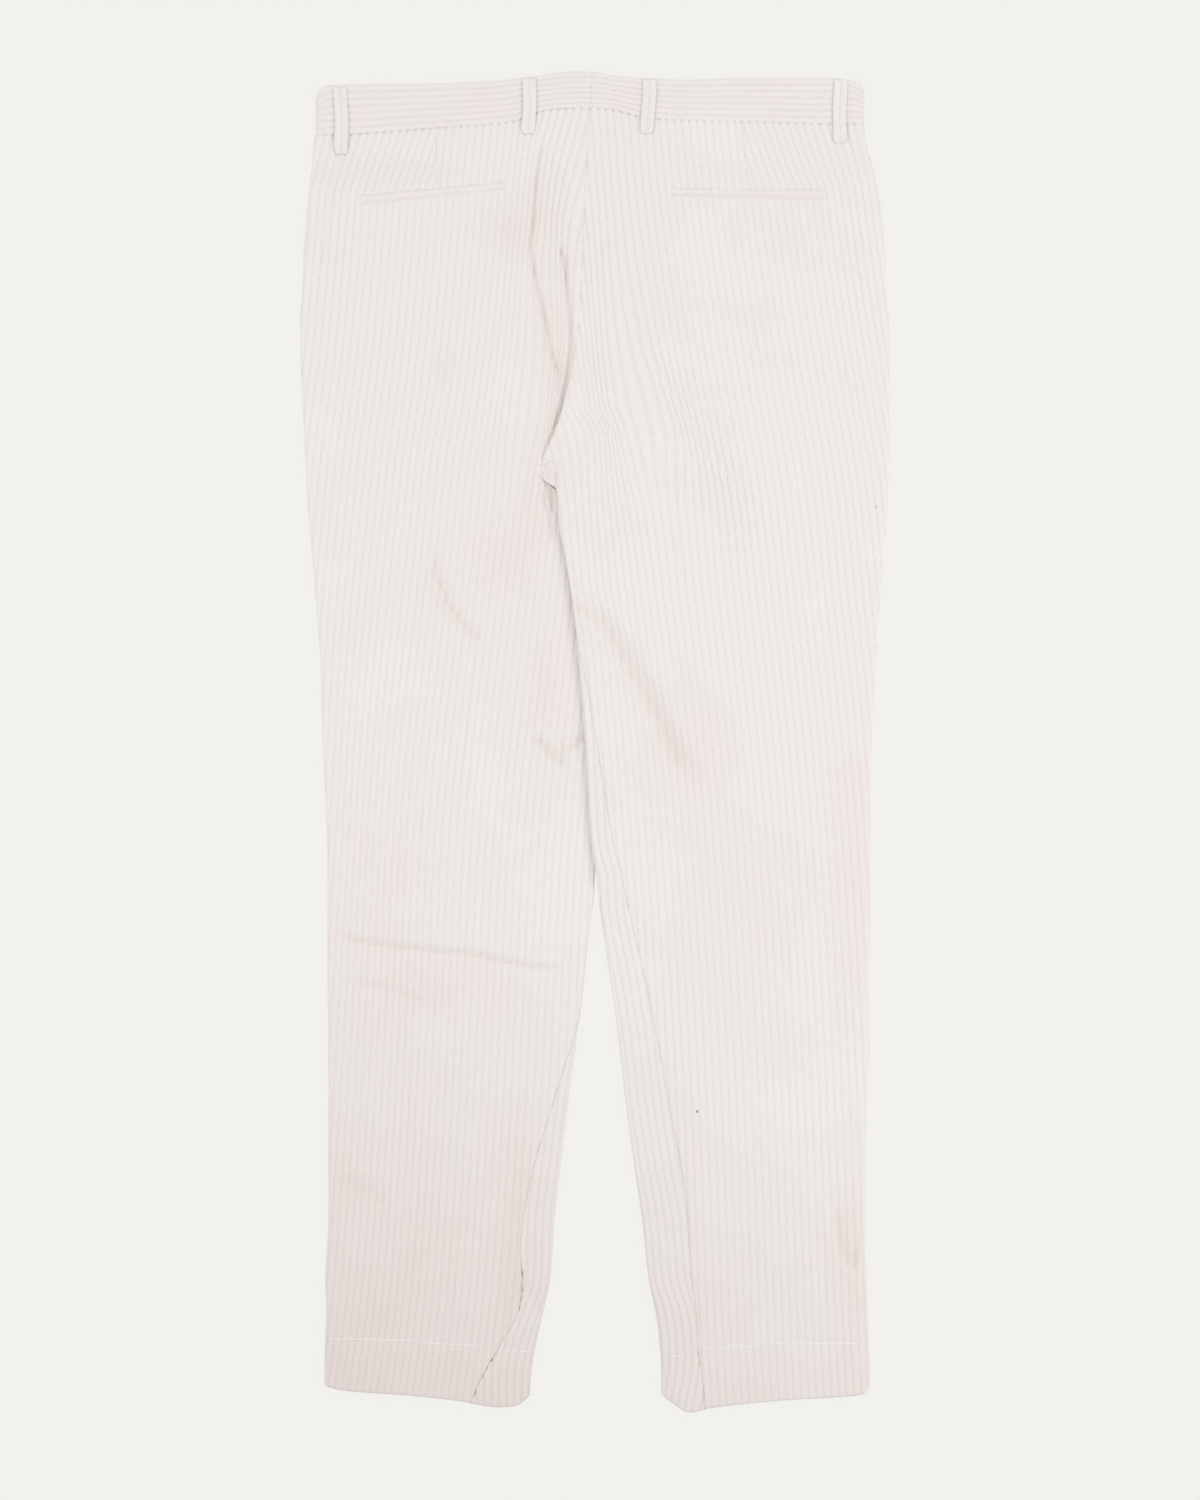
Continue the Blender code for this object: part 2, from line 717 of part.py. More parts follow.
# ---------------------------------------------------------------- closed meshes from rows
class Mesh:
    """A closed solid built from rows: an outer face and an inner face, joined round the border."""

    def __init__(self, turn):
        self.turn = turn
        self.points = []
        self.faces = []

    def put(self, blocks):
        """Adds a row and gives its blocks as (key, point number). Blocks share their end points."""
        found = []
        last = None
        for block in blocks:
            numbered = []
            for i, (key, point) in enumerate(block):
                if last is not None and i == 0:
                    numbered.append((key, last))
                    continue
                self.points.append((self.turn * point[0] * MM, point[1] * MM, point[2] * MM))
                numbered.append((key, len(self.points) - 1))
            last = numbered[-1][1]
            found.append(numbered)
        return found

    def join(self, first, second, flip=False):
        """Fills the strip between two lines of points with triangles, matching their keys."""
        i = 0
        j = 0
        while i < len(first) - 1 or j < len(second) - 1:
            if j == len(second) - 1:
                step_first = True
            elif i == len(first) - 1:
                step_first = False
            else:
                step_first = first[i + 1][0] <= second[j + 1][0]
            if step_first:
                face = (first[i][1], second[j][1], first[i + 1][1])
                i += 1
            else:
                face = (first[i][1], second[j][1], second[j + 1][1])
                j += 1
            self.faces.append(face[::-1] if flip else face)

    def rows(self, rows):
        """Lofts a list of (outer blocks, inner blocks) into one closed solid."""
        numbered = [(self.put(outer), self.put(inner)) for outer, inner in rows]
        for (outer_a, inner_a), (outer_b, inner_b) in zip(numbered, numbered[1:]):
            for block_a, block_b in zip(outer_a, outer_b):
                self.join(block_a, block_b)
            for block_a, block_b in zip(inner_a, inner_b):
                self.join(block_a, block_b, flip=True)
            a, b = outer_a[0][0][1], outer_b[0][0][1]
            c, d = inner_a[0][0][1], inner_b[0][0][1]
            self.faces += [(b, a, c), (b, c, d)]
            a, b = outer_a[-1][-1][1], outer_b[-1][-1][1]
            c, d = inner_a[-1][-1][1], inner_b[-1][-1][1]
            self.faces += [(a, b, d), (a, d, c)]
        for outer, inner in zip(*numbered[0]):
            self.join(self.by_share(inner), self.by_share(outer))
        for outer, inner in zip(*numbered[-1]):
            self.join(self.by_share(outer), self.by_share(inner))

    def by_share(self, block):
        """The block keyed by each point's share of its length, so that two faces can be joined."""
        lengths = [0.0]
        for (_, a), (_, b) in zip(block, block[1:]):
            lengths.append(lengths[-1] + math.dist(self.points[a], self.points[b]))
        whole = lengths[-1] if lengths[-1] > 0.0 else 1.0
        return [(length / whole, number) for length, (_, number) in zip(lengths, block)]

    def volume(self):
        total = 0.0
        for a, b, c in self.faces:
            ax, ay, az = self.points[a]
            bx, by, bz = self.points[b]
            cx, cy, cz = self.points[c]
            total += ax * (by * cz - bz * cy) + ay * (bz * cx - bx * cz) + az * (bx * cy - by * cx)
        return total

    def make(self, name, collection, tint):
        faces = self.faces
        if self.volume() < 0.0:
            faces = [face[::-1] for face in faces]
        data = bpy.data.meshes.new(name)
        data.from_pydata(self.points, [], faces)
        data.update()
        thing = bpy.data.objects.new(name, data)
        collection.objects.link(thing)
        material = bpy.data.materials.new(name + "_cloth")
        material.use_nodes = True
        shader = material.node_tree.nodes["Principled BSDF"]
        shader.inputs["Base Color"].default_value = (*tint, 1.0)
        shader.inputs["Roughness"].default_value = 0.95
        data.materials.append(material)
        return thing


# ---------------------------------------------------------------- the pieces
def make_panels(collection, tint):
    for side, leg in LEGS.items():
        back = Mesh(leg.turn)
        back.rows([back_row(leg, row) for row in ROWS])
        back.make("back_panel_" + side, collection, tint)
        front = Mesh(leg.turn)
        front.rows([front_row(leg, row) for row in ROWS])
        front.make("front_panel_" + side, collection, tint)


def band_section(u, low, high, outer, inner, ribbed):
    """A cut across the waistband, from its seam to its top edge, at one place along its path."""
    tall = high - low
    edge = 0.45 if outer > inner else -0.45
    line = [(0.0, (u, low, outer - edge))]
    steps = 2 * BAND_WALES if ribbed else 4
    for i in range(1, steps):
        depth = 0.0 if i % 2 or not ribbed else WALE_RISE * (1.0 if outer > inner else -1.0)
        line.append((i / steps, (u, low + tall * i / steps, outer - depth)))
    line.append((1.0, (u, high, outer - edge)))
    inside = [(s, (u, low + tall * s, inner)) for s in (0.0, 0.5, 1.0)]
    return [line], [inside]


def band_fold(leg, angle, edge, low, high, bottom, top):
    """A cut across the band on its way round the side fold."""
    radius = (top - bottom) / 2.0
    middle = (top + bottom) / 2.0
    a = math.radians(angle)
    reach = radius - BAND_WALL
    out = (edge + radius * (1.0 - math.cos(a)), middle + radius * math.sin(a))
    within = (edge + radius - reach * math.cos(a), middle + reach * math.sin(a))
    tall = high - low
    steps = 2 * BAND_WALES
    line = []
    for i in range(steps + 1):
        depth = WALE_RISE if i % 2 == 0 and 0 < i < steps and angle >= 0.0 else 0.0
        if i in (0, steps):
            depth = 0.45
        share = depth / (radius - reach)
        u = out[0] + (within[0] - out[0]) * share
        z = out[1] + (within[1] - out[1]) * share
        line.append((i / steps, (u, low + tall * i / steps, z)))
    inside = [(s, (within[0], low + tall * s, within[1])) for s in (0.0, 0.5, 1.0)]
    return [line], [inside]


def make_band(leg, collection, tint):
    """One half of the waistband, from the centre back round the side fold to the front's closing."""
    rows = []
    start = leg.turn * -3.6 - SEAM_GAP / 2.0
    edge = LEFT_SIDE(500.0) if leg.left else -RIGHT_SIDE(500.0)
    top = BAND_SIDE_TOP
    radius = (top - BAND_LIFT) / 2.0
    stations = [start] + [leg.turn * x for x in BAND_CUTS[leg.side]] + [edge + radius]
    for u in stations:
        x = leg.x(u)
        low = WAIST_Y(x) + WAIST_GAP / 2.0
        height = band_height(x)
        rows.append(band_section(u, low, BAND_TOP_Y(x), height, height - BAND_WALL - 0.1, True))
    seam = WAIST_Y(leg.x(edge)) + WAIST_GAP / 2.0
    for angle, drop in ((50.0, 1.6), (0.0, 4.0), (-50.0, 5.0)):
        high = BAND_TOP_Y(leg.x(edge)) - drop
        rows.append(band_fold(leg, angle, edge, seam, high, BAND_LIFT, top))
    stop = BAND_LAP_X if leg.left else 3.0
    for i, u in enumerate(spread(edge + radius, stop, 12)):
        x = leg.x(u)
        low = front_waist(x) + WAIST_GAP / 2.0
        high = low + 33.5
        outer = BAND_LIFT
        if not leg.left:
            outer += (BAND_WALL + LIE_GAP) * smooth(60.0, 41.0, x)
        rows.append(band_section(u, low, high, outer, outer + BAND_WALL, False))
    band = Mesh(leg.turn)
    band.rows(rows)
    band.make("waistband_" + leg.side, collection, tint)


def strap_row(x, y, bottom, wall, wide):
    """A cut across a belt loop: two wales above a plain underside."""
    line = []
    for i, (share, depth) in enumerate(((-1, 0.5), (-0.5, 0), (0, 0.6), (0.5, 0), (1, 0.5))):
        line.append((i / 4.0, (x + share * wide / 2.0, y, bottom + wall - depth)))
    under = [(0.0, (x - wide / 2.0, y, bottom)), (1.0, (x + wide / 2.0, y, bottom))]
    return [line], [under]


def make_back_loops(collection, tint):
    for name, x_top, x_low, y_top, y_low in BACK_LOOPS:
        rows = []
        for share in (0.0, 0.07, 0.18, 0.35, 0.55, 0.75, 0.9, 1.0):
            x = x_top + (x_low - x_top) * share
            y = y_top + (y_low - y_top) * share
            arch = 1.3 * smooth(0.04, 0.3, share) * smooth(1.0, 0.62, share)
            near = max(band_height(x + away) for away in (-6.4, 0.0, 6.4))
            rows.append(strap_row(x, y, near + LIE_GAP + arch, LOOP_WALL, LOOP_WIDTH))
        loop = Mesh(1.0)
        loop.rows(rows)
        loop.make(name, collection, tint)


def make_front_loops(collection, tint):
    for name, x in FRONT_LOOPS:
        rows = []
        low = front_waist(x)
        for y in (low + 32.5, low + 10.0, low - 16.0):
            line = [(0.0, (x - 6.4, y, FRONT_LOOP_WALL)), (1.0, (x + 6.4, y, FRONT_LOOP_WALL))]
            under = [(0.0, (x - 6.4, y, 0.0)), (1.0, (x + 6.4, y, 0.0))]
            rows.append(([line], [under]))
        loop = Mesh(1.0)
        loop.rows(rows)
        loop.make(name, collection, tint)


def make_welts(collection, tint):
    for name, side, x0, low0, high0, x1, low1, high1 in WELTS:
        leg = LEGS[side]
        rows = []
        for share in spread(0.0, 1.0, 11):
            x = x0 + (x1 - x0) * share
            low = low0 + (low1 - low0) * share
            high = high0 + (high1 - high0) * share
            u = leg.turn * x
            line = []
            for i, depth in enumerate((0.4, 0.0, 0.5, 0.0, 0.4)):
                y = low + (high - low) * i / 4.0
                line.append((i / 4.0, (x, y, back_height(leg, u, y) + LIE_GAP + WELT_WALL - depth)))
            under = []
            for i in (0.0, 1.0):
                y = low + (high - low) * i
                under.append((i, (x, y, back_height(leg, u, y) + LIE_GAP)))
            rows.append(([line], [under]))
        welt = Mesh(1.0)
        welt.rows(rows)
        welt.make(name, collection, tint)


def main():
    for thing in list(bpy.data.objects):
        bpy.data.objects.remove(thing)
    collection = bpy.data.collections.new("corduroy_trousers")
    bpy.context.scene.collection.children.link(collection)
    tint = (0.78, 0.73, 0.68)
    make_panels(collection, tint)
    for leg in LEGS.values():
        make_band(leg, collection, tint)
    make_back_loops(collection, tint)
    make_front_loops(collection, tint)
    make_welts(collection, tint)
    print(len(collection.objects), "pieces of cloth")


main()
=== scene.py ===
# %% [markdown]
# # Corduroy trousers, laid flat with the back up
# The trousers lie on a pale floor, front down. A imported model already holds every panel, band,
# belt loop and pocket welt as a plain closed solid at its real size. This script loads that model
# as a frame and replaces each solid with finely made cloth in the same place: wide rounded wales,
# creases, seams and stitches. Lengths are in millimetres here and become metres in the meshes.

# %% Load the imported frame
import math

import bpy
import numpy as np
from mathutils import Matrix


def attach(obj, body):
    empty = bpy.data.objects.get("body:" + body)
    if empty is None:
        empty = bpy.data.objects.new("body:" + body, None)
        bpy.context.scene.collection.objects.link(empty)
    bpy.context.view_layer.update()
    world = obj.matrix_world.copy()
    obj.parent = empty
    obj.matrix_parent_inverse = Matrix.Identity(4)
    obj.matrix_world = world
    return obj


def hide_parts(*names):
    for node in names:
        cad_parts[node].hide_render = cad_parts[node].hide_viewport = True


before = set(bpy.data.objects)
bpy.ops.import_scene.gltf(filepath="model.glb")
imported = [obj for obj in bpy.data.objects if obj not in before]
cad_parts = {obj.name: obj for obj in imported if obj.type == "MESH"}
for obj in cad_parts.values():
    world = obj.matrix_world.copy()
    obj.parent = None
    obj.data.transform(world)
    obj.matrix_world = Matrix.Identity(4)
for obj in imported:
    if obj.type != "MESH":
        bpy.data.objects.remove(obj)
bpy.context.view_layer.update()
MM = 0.001
print("frame loaded:", len(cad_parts), "solids")

# %% [markdown]
# ## Curves through short tables
# A pattern cutter marks balance points and draws a smooth line through them. The helper below
# does the same with a cubic that never bulges past its points, so a table of places is enough
# for a side seam or a hem. NumPy lets one call work on a whole mesh at once.


# %% A smooth line through a table, and a soft step
def line_through(table, column):
    """A smooth function of the table's first column, for numbers or arrays."""
    xs = np.array([row[0] for row in table], float)
    ys = np.array([row[column] for row in table], float)
    steps = np.diff(ys) / np.diff(xs)
    product = steps[:-1] * steps[1:]
    total = np.where(product > 0.0, steps[:-1] + steps[1:], 1.0)
    middle = np.where(product > 0.0, 2.0 * product / total, 0.0)
    tangents = np.concatenate(([steps[0]], middle, [steps[-1]]))

    def value(at):
        at = np.clip(at, xs[0], xs[-1])
        i = np.clip(np.searchsorted(xs, at, side="right") - 1, 0, len(xs) - 2)
        width = xs[i + 1] - xs[i]
        t = (at - xs[i]) / width
        rise = t * t * (3.0 - 2.0 * t)
        bend = tangents[i] * t * (1.0 - t) ** 2 + tangents[i + 1] * t * t * (t - 1.0)
        return ys[i] + rise * (ys[i + 1] - ys[i]) + width * bend

    return value


def soft_step(low, high, at):
    """0 at low, 1 at high and a soft S between them."""
    t = np.clip((at - low) / (high - low), 0.0, 1.0)
    return t * t * (3.0 - 2.0 * t)


# %% [markdown]
# ## The outline of the trousers
# The outline is set by the side folds, the inner folds of the legs, the centre back seam, the
# waist seam, the band's top and the hems. The solids were cut to the same lines, apart from small
# changes at the waist seam, so every piece of cloth lands on its solid. The side folds' table is
# denser than a smooth line needs: 13 places on each side would keep it within 1 mm.

# %% Outline tables, millimetres
# Side folds: y, left x, right x.
SIDES = (
    (-540.0, -214.5, 219.5), (-502.0, -216.8, 220.0), (-454.0, -215.2, 218.4),
    (-430.0, -216.0, 217.6), (-382.0, -213.6, 216.0), (-334.0, -213.6, 216.8),
    (-286.0, -213.6, 218.4), (-238.0, -213.6, 220.0), (-190.0, -214.4, 219.2),
    (-142.0, -214.4, 220.8), (-94.0, -214.4, 220.8), (-46.0, -216.0, 220.8),
    (2.0, -218.4, 221.6), (50.0, -219.2, 224.8), (98.0, -222.4, 227.2),
    (146.0, -226.4, 231.2), (194.0, -230.4, 234.4), (242.0, -232.8, 236.0),
    (290.0, -235.2, 236.0), (314.0, -236.0, 236.0), (338.0, -236.0, 235.2),
    (362.0, -234.4, 233.6), (386.0, -233.6, 232.8), (410.0, -231.8, 231.2),
    (434.0, -230.0, 228.0), (458.0, -227.2, 223.2), (482.0, -224.8, 216.8),
    (511.0, -222.4, 214.4), (516.0, -221.6, 213.6),
)
# Centre back seam above the crotch: y, x.
CENTRE = (
    (222.0, -42.0), (232.0, -39.0), (242.0, -34.5), (258.0, -28.5), (274.0, -24.0),
    (296.0, -18.4), (330.0, -13.6), (394.0, -9.6), (434.0, -8.0), (510.0, -4.0), (536.0, -3.0),
)
# Inner folds of the legs: y, left x, right x.
INSIDES = (
    (-540.0, -53.0, 52.0), (-502.0, -50.4, 52.8), (-478.0, -46.4, 51.2), (-454.0, -40.8, 48.0),
    (-430.0, -35.6, 42.8), (-382.0, -32.0, 37.6), (-334.0, -26.4, 30.4), (-286.0, -20.8, 24.0),
    (-238.0, -14.4, 18.4), (-190.0, -8.6, 12.0), (-142.0, -3.2, 4.8), (-122.0, -0.6, 2.6),
    (-104.0, 0.2, 0.8), (-86.0, 1.6, -2.4), (-58.0, 1.2, -4.8), (-28.0, 1.5, -6.5),
    (0.0, 1.3, -8.2), (26.0, 0.5, -10.0), (52.0, -0.7, -12.2), (78.0, -3.0, -15.0),
    (102.0, -5.4, -17.6), (126.0, -9.8, -20.8), (150.0, -15.0, -25.0), (174.0, -22.4, -29.4),
    (196.0, -31.3, -30.7), (206.0, -33.5, -32.9), (214.0, -38.3, -37.7), (222.0, -42.3, -41.7),
)
# Inseams: y, distance in from the inner fold, left and right.
INSEAMS = (
    (-540.0, 50.0, 36.0), (-524.0, 46.0, 35.0), (-482.0, 29.0, 30.3), (-454.0, 20.0, 32.5),
    (-438.0, 21.0, 34.0), (-404.0, 26.0, 35.2), (-350.0, 23.0, 37.9), (-286.0, 12.0, 34.4),
    (-206.0, 0.0, 29.0), (-174.0, 0.0, 27.0), (-114.0, 0.0, 21.0), (-46.0, 0.0, 14.0),
    (34.0, 0.0, 6.0), (104.0, 0.0, 0.0), (222.0, 0.0, 0.0),
)
# Waist seam on the back: x, y.
WAIST = (
    (-224.0, 485.0), (-196.8, 485.6), (-148.8, 489.2), (-127.2, 490.8), (-85.6, 493.6),
    (-62.0, 496.6), (-48.0, 502.8), (-40.0, 504.8), (-20.0, 506.2), (-4.8, 506.4), (14.0, 505.2),
    (28.0, 501.4), (40.0, 498.6), (52.0, 497.6), (90.0, 496.4), (126.4, 495.6), (190.4, 494.0),
    (216.0, 494.5),
)
# Top edge of the band on the back: x, y.
BAND_TOP = (
    (-222.0, 523.0), (-210.0, 525.2), (-150.0, 526.0), (-84.0, 528.0), (-46.4, 532.4),
    (-20.0, 535.6), (-4.0, 535.4), (22.4, 531.6), (76.0, 529.2), (110.0, 530.4),
    (190.0, 530.6), (214.0, 527.6),
)
# Bottom edge of the hems: x, y.
HEMS = (
    (-216.0, -514.5), (-200.8, -518.0), (-148.8, -522.0), (-111.2, -526.0), (-76.0, -531.4),
    (-62.0, -530.0), (-53.0, -523.0), (0.0, -522.0), (52.0, -521.0), (60.0, -526.5),
    (76.0, -535.6), (92.0, -532.0), (148.0, -526.0), (212.8, -521.5), (221.0, -514.5),
)
WAIST_Y = line_through(WAIST, 1)
BAND_TOP_Y = line_through(BAND_TOP, 1)
HEM_Y = line_through(HEMS, 1)
CENTRE_X = line_through(CENTRE, 1)
SIDE_X = {"left": line_through(SIDES, 1), "right": line_through(SIDES, 2)}
INSIDE_X = {"left": line_through(INSIDES, 1), "right": line_through(INSIDES, 2)}
INSEAM_IN = {"left": line_through(INSEAMS, 1), "right": line_through(INSEAMS, 2)}
WAIST_LEVEL = 492.0
HEM_LEVEL = -524.0
CROTCH_Y = 222.0
print("waist to hem:", WAIST_LEVEL - HEM_LEVEL, "mm")

# %% [markdown]
# ## One plan for both legs
# The two legs mirror each other, so both are worked out in one plan where u grows from the outer
# fold to the inner fold: u is x on the left leg and -x on the right leg. The waist of the front
# dips lower than the back's, as it does on any pair of trousers.

# %% Plan of a leg
TURN = {"left": 1.0, "right": -1.0}
SEAM_GAP = -0.2
SEAM_LAP = 1.6
CURL = 6.5
FRONT_DIP = 12.0


def outer_edge(side, y):
    return TURN[side] * SIDE_X[side](y)


def inner_edge(side, y):
    """The centre seam above the crotch and the inner fold below it."""
    above = TURN[side] * CENTRE_X(y) - SEAM_GAP / 2.0
    below = TURN[side] * INSIDE_X[side](y)
    if side == "left":
        below = below + 4.0 * soft_step(182.0, 200.0, y)
    else:
        below = below + CURL * soft_step(222.0, 210.0, y) * soft_step(204.0, 208.5, y)
    return np.where(y > CROTCH_Y - 0.5, above, below)


def front_waist(x):
    ends = 485.0 + 9.5 * (x + 224.0) / 440.0
    return ends - FRONT_DIP * np.maximum(0.0, 1.0 - np.abs(x + 4.0) / 220.0)


def row_y(level, u, side, front):
    """A row of the cloth bends with the waist near the waist and with the hem near the hem."""
    x = TURN[side] * u
    waist = front_waist(x) if front else WAIST_Y(x)
    near_waist = soft_step(360.0, WAIST_LEVEL, level)
    near_hem = soft_step(-390.0, HEM_LEVEL, level)
    return level + near_waist * (waist - WAIST_LEVEL) + near_hem * (HEM_Y(x) - HEM_LEVEL)


# %% [markdown]
# ## Creases
# Cloth that has been worn and laid down keeps creases at the seat, behind the thighs and at the
# knees. Each is a line of a few given points, with a depth, a roll, which pushes up a ridge on
# one side, a half width, and a pinch, which draws the wales together over it. Real folds are as
# uneven as these numbers are. A cloth simulation could wrinkle the panels too, but it would not
# put each crease where these trousers have theirs.

# %% Creases of the back, in the order: depth, roll, half width, pinch, then points x, y
BACK_CREASES = {
    "left": (
        (-2.5, 0.0, 1.8, 0.3, ((-45, 496), (-44.8, 473), (-47.4, 451), (-49, 420), (-51.6, 393),
                               (-47.4, 369), (-44, 354), (-39.4, 335), (-36, 315), (-32.6, 303),
                               (-29, 292), (-27, 278))),
        (-0.9, 0.0, 9.0, 0.35, ((-44, 420), (-40, 398), (-36, 364), (-30, 332), (-27, 306),
                                (-28, 280), (-35, 254))),
        (-3.1, 0.0, 2.0, 0.2, ((-31, 400), (-28.6, 396), (-25, 386), (-22.9, 369), (-21.6, 354),
                               (-20.2, 335), (-19.6, 315), (-21.2, 303), (-22.4, 289), (-25.2, 277),
                               (-27.2, 267), (-30, 256), (-33, 248))),
        (-1.0, 0.0, 1.8, 0.0, ((-27, 268), (-31, 254), (-35.5, 243), (-40, 233), (-45, 223))),
        (0.7, 0.0, 8.0, 0.0, ((-62, 452), (-67, 402), (-60, 350), (-50, 300), (-48, 262))),
        (0.5, 0.0, 4.0, 0.0, ((-20, 440), (-16, 380), (-14.5, 340))),
        (-2.3, 1.1, 3.0, 0.1, ((-134, 158), (-127, 131), (-120, 112), (-104, 92), (-88, 78))),
        (-0.9, 0.0, 16.0, 0.0, ((-96, 214), (-88, 165), (-78, 116))),
        (-3.2, 0.9, 3.2, 0.1, ((-50, 4), (-44, -1), (-34, -11), (-24, -20))),
        (-3.2, 1.2, 3.2, 0.0, ((-33, -12), (-24, -6), (-12, -1), (0, 5))),
        (-0.8, 0.4, 4.0, 0.0, ((-84, -58), (-58, -66), (-26, -73))),
        (-1.7, -1.2, 3.0, 0.0, ((-214, -153), (-182, -159), (-143, -164), (-99, -168),
                                (-56, -178), (-8, -181))),
        (-1.2, -0.7, 3.6, 0.0, ((-208, -190), (-177, -194), (-150, -202), (-122, -214))),
        (-1.4, -0.8, 6.0, 0.0, ((-214, -346), (-190, -354), (-162, -366))),
        (-0.9, 0.8, 6.0, 0.0, ((-160, -390), (-125, -396), (-88, -398))),
        (-1.3, -1.0, 5.0, 0.0, ((-60, -433), (-50, -440), (-38, -436))),
        (-0.9, 0.6, 5.0, 0.0, ((-62, -330), (-46, -338), (-24, -334))),
        (-0.6, 0.0, 7.0, 0.0, ((-150, 330), (-128, 300), (-112, 262))),
        (-0.5, 0.4, 9.0, 0.0, ((-200, 60), (-170, 20), (-150, -40))),
        (-0.9, 0.0, 1.3, 0.0, ((-200, 486), (-205.6, 463), (-212, 428), (-218.4, 392),
                               (-226, 352))),
        (-0.8, 0.0, 1.2, 0.0, ((-96, 84), (-103, 20), (-110, -44))),
    ),
    "right": (
        (-0.9, 0.5, 2.4, 0.2, ((16, 384), (23, 351), (33, 330), (44, 307), (52, 294), (60, 279),
                               (70, 264), (82, 247), (92, 231), (102, 215), (118, 193), (138, 175))),
        (0.8, 0.0, 3.4, 0.0, ((-30, 261), (-14, 263), (7, 265), (20, 262), (36, 254))),
        (-1.1, 0.0, 1.7, 0.0, ((-22, 255), (-10, 257.6), (4, 258.6), (11, 260), (20, 256), (30, 251))),
        (0.9, 0.0, 6.0, 0.0, ((-10, 322), (-14.5, 300), (-19, 280), (-24, 262), (-33, 246), (-40, 232))),
        (-0.7, 0.0, 12.0, 0.0, ((6, 380), (14, 340), (24, 300), (44, 266))),
        (-3.2, 0.9, 5.0, 0.15, ((-21, 110), (-8, 104.5), (4, 95), (18.4, 75.6), (31, 52),
                                (45, 25), (58, -5), (77, -42))),
        (2.7, 0.0, 7.0, 0.0, ((-2, 118), (20, 98), (38, 72), (54, 40), (72, 4), (92, -34))),
        (-0.6, 0.0, 10.0, 0.0, ((38, 240), (52, 226), (66, 208))),
        (-0.7, 0.3, 13.0, 0.0, ((74, 206), (90, 176), (110, 140))),
        (-1.3, 0.9, 4.0, 0.0, ((10, -193), (26, -199), (48, -204))),
        (-0.8, 0.5, 5.0, 0.0, ((46, -232), (68, -236), (92, -234))),
        (-1.0, 0.5, 5.0, 0.0, ((40, -379), (49, -386), (62, -396))),
        (-2.0, 1.0, 4.2, 0.0, ((189, -362), (192, -392), (197, -411), (206, -418), (217, -397))),
        (0.5, 0.0, 10.0, 0.0, ((38, -187), (52, -237), (58, -284), (69, -344), (78, -412),
                               (89, -465))),
        (-0.6, 0.0, 8.0, 0.0, ((150, 360), (166, 316), (176, 268))),
        (-0.5, 0.3, 7.0, 0.0, ((130, -90), (160, -120), (205, -130))),
        (-0.9, 0.4, 8.0, 0.0, ((92, 152), (138, 149), (196, 158))),
        (-0.8, 0.0, 1.6, 0.0, ((200.5, 486), (203, 478), (208, 463))),
        (-0.35, 0.0, 1.1, 0.0, ((119, -132), (124, -240), (129, -348))),
    ),
}
print("creases on the back:", {side: len(rows) for side, rows in BACK_CREASES.items()})


# %% Height of the creases, and how they draw the wales together
def to_line(points, x, y):
    """Signed distance to a line of points, and how far along it the nearest place is, 0 to 1."""
    best = np.full(np.shape(x), 1e9)
    signed = np.full(np.shape(x), 1e9)
    place = np.zeros(np.shape(x))
    count = len(points) - 1
    for i, ((ax, ay), (bx, by)) in enumerate(zip(points, points[1:])):
        dx = bx - ax
        dy = by - ay
        t = np.clip(((x - ax) * dx + (y - ay) * dy) / (dx * dx + dy * dy), 0.0, 1.0)
        away = np.hypot(x - ax - t * dx, y - ay - t * dy)
        side = np.sign((x - ax) * dy - (y - ay) * dx)
        nearer = away < best
        best = np.where(nearer, away, best)
        signed = np.where(nearer, away * side, signed)
        place = np.where(nearer, (i + t) / count, place)
    return signed, place


def crease_lift(creases, x, y):
    """Height that a set of creases adds at each place of the plan."""
    x, y = np.broadcast_arrays(np.asarray(x, float), np.asarray(y, float))
    total = np.zeros(x.shape)
    for depth, roll, width, _, points in creases:
        xs, ys = zip(*points)
        margin = 3.0 * width
        near = (x > min(xs) - margin) & (x < max(xs) + margin)
        near &= (y > min(ys) - margin) & (y < max(ys) + margin)
        if not near.any():
            continue
        signed, place = to_line(points, x[near], y[near])
        fade = soft_step(0.0, 0.14, place) * soft_step(0.0, 0.14, 1.0 - place)
        share = signed / width
        shape = depth * np.exp(-(share**2)) + roll * 1.6 * share * np.exp(-((share / 1.5) ** 2))
        total[near] += fade * shape
    return total


def crease_pinch(side, u, y):
    """Sideways move of the cloth toward its pinched creases."""
    x = TURN[side] * u
    total = np.zeros(np.shape(u))
    for _, _, width, pinch, points in BACK_CREASES[side]:
        if pinch == 0.0:
            continue
        signed, place = to_line(points, x, y)
        fade = soft_step(0.0, 0.25, place) * soft_step(0.0, 0.25, 1.0 - place)
        total -= TURN[side] * pinch * fade * signed * np.exp(-((signed / (1.6 * width)) ** 2))
    return total


# %% [markdown]
# ## How high each layer lies
# Pressed flat, the trousers are two layers of cloth: the front on the floor and the back on top,
# about 6 mm at the ridges. The right leg's inner edge lies over the left leg's, so it is lifted
# there, and the back climbs a little to meet the thick waistband. A slow unevenness, made from a
# small lattice of random heights, keeps the flat parts from looking like a tabletop.

# %% Heights
LEG_HEIGHT = 6.4
UNDER_MARGIN = 1.6
OVER_LIFT = 5.3
OVER_STACK = 4.4
BAND_LIFT = 1.5
BAND_SIDE_TOP = 7.2
BAND_CENTRE_TOP = 9.4
HEM_EXTRA = 0.9
HEM_DEPTH_Y = -482.0
FLY_LAP = 12.0
FLY_END_Y = 304.0
LEAST_STACK = 3.2
SEAT_DROP = 0.9
SEAM_UNDER = 4.0
WELT_MOUTH = 0.8
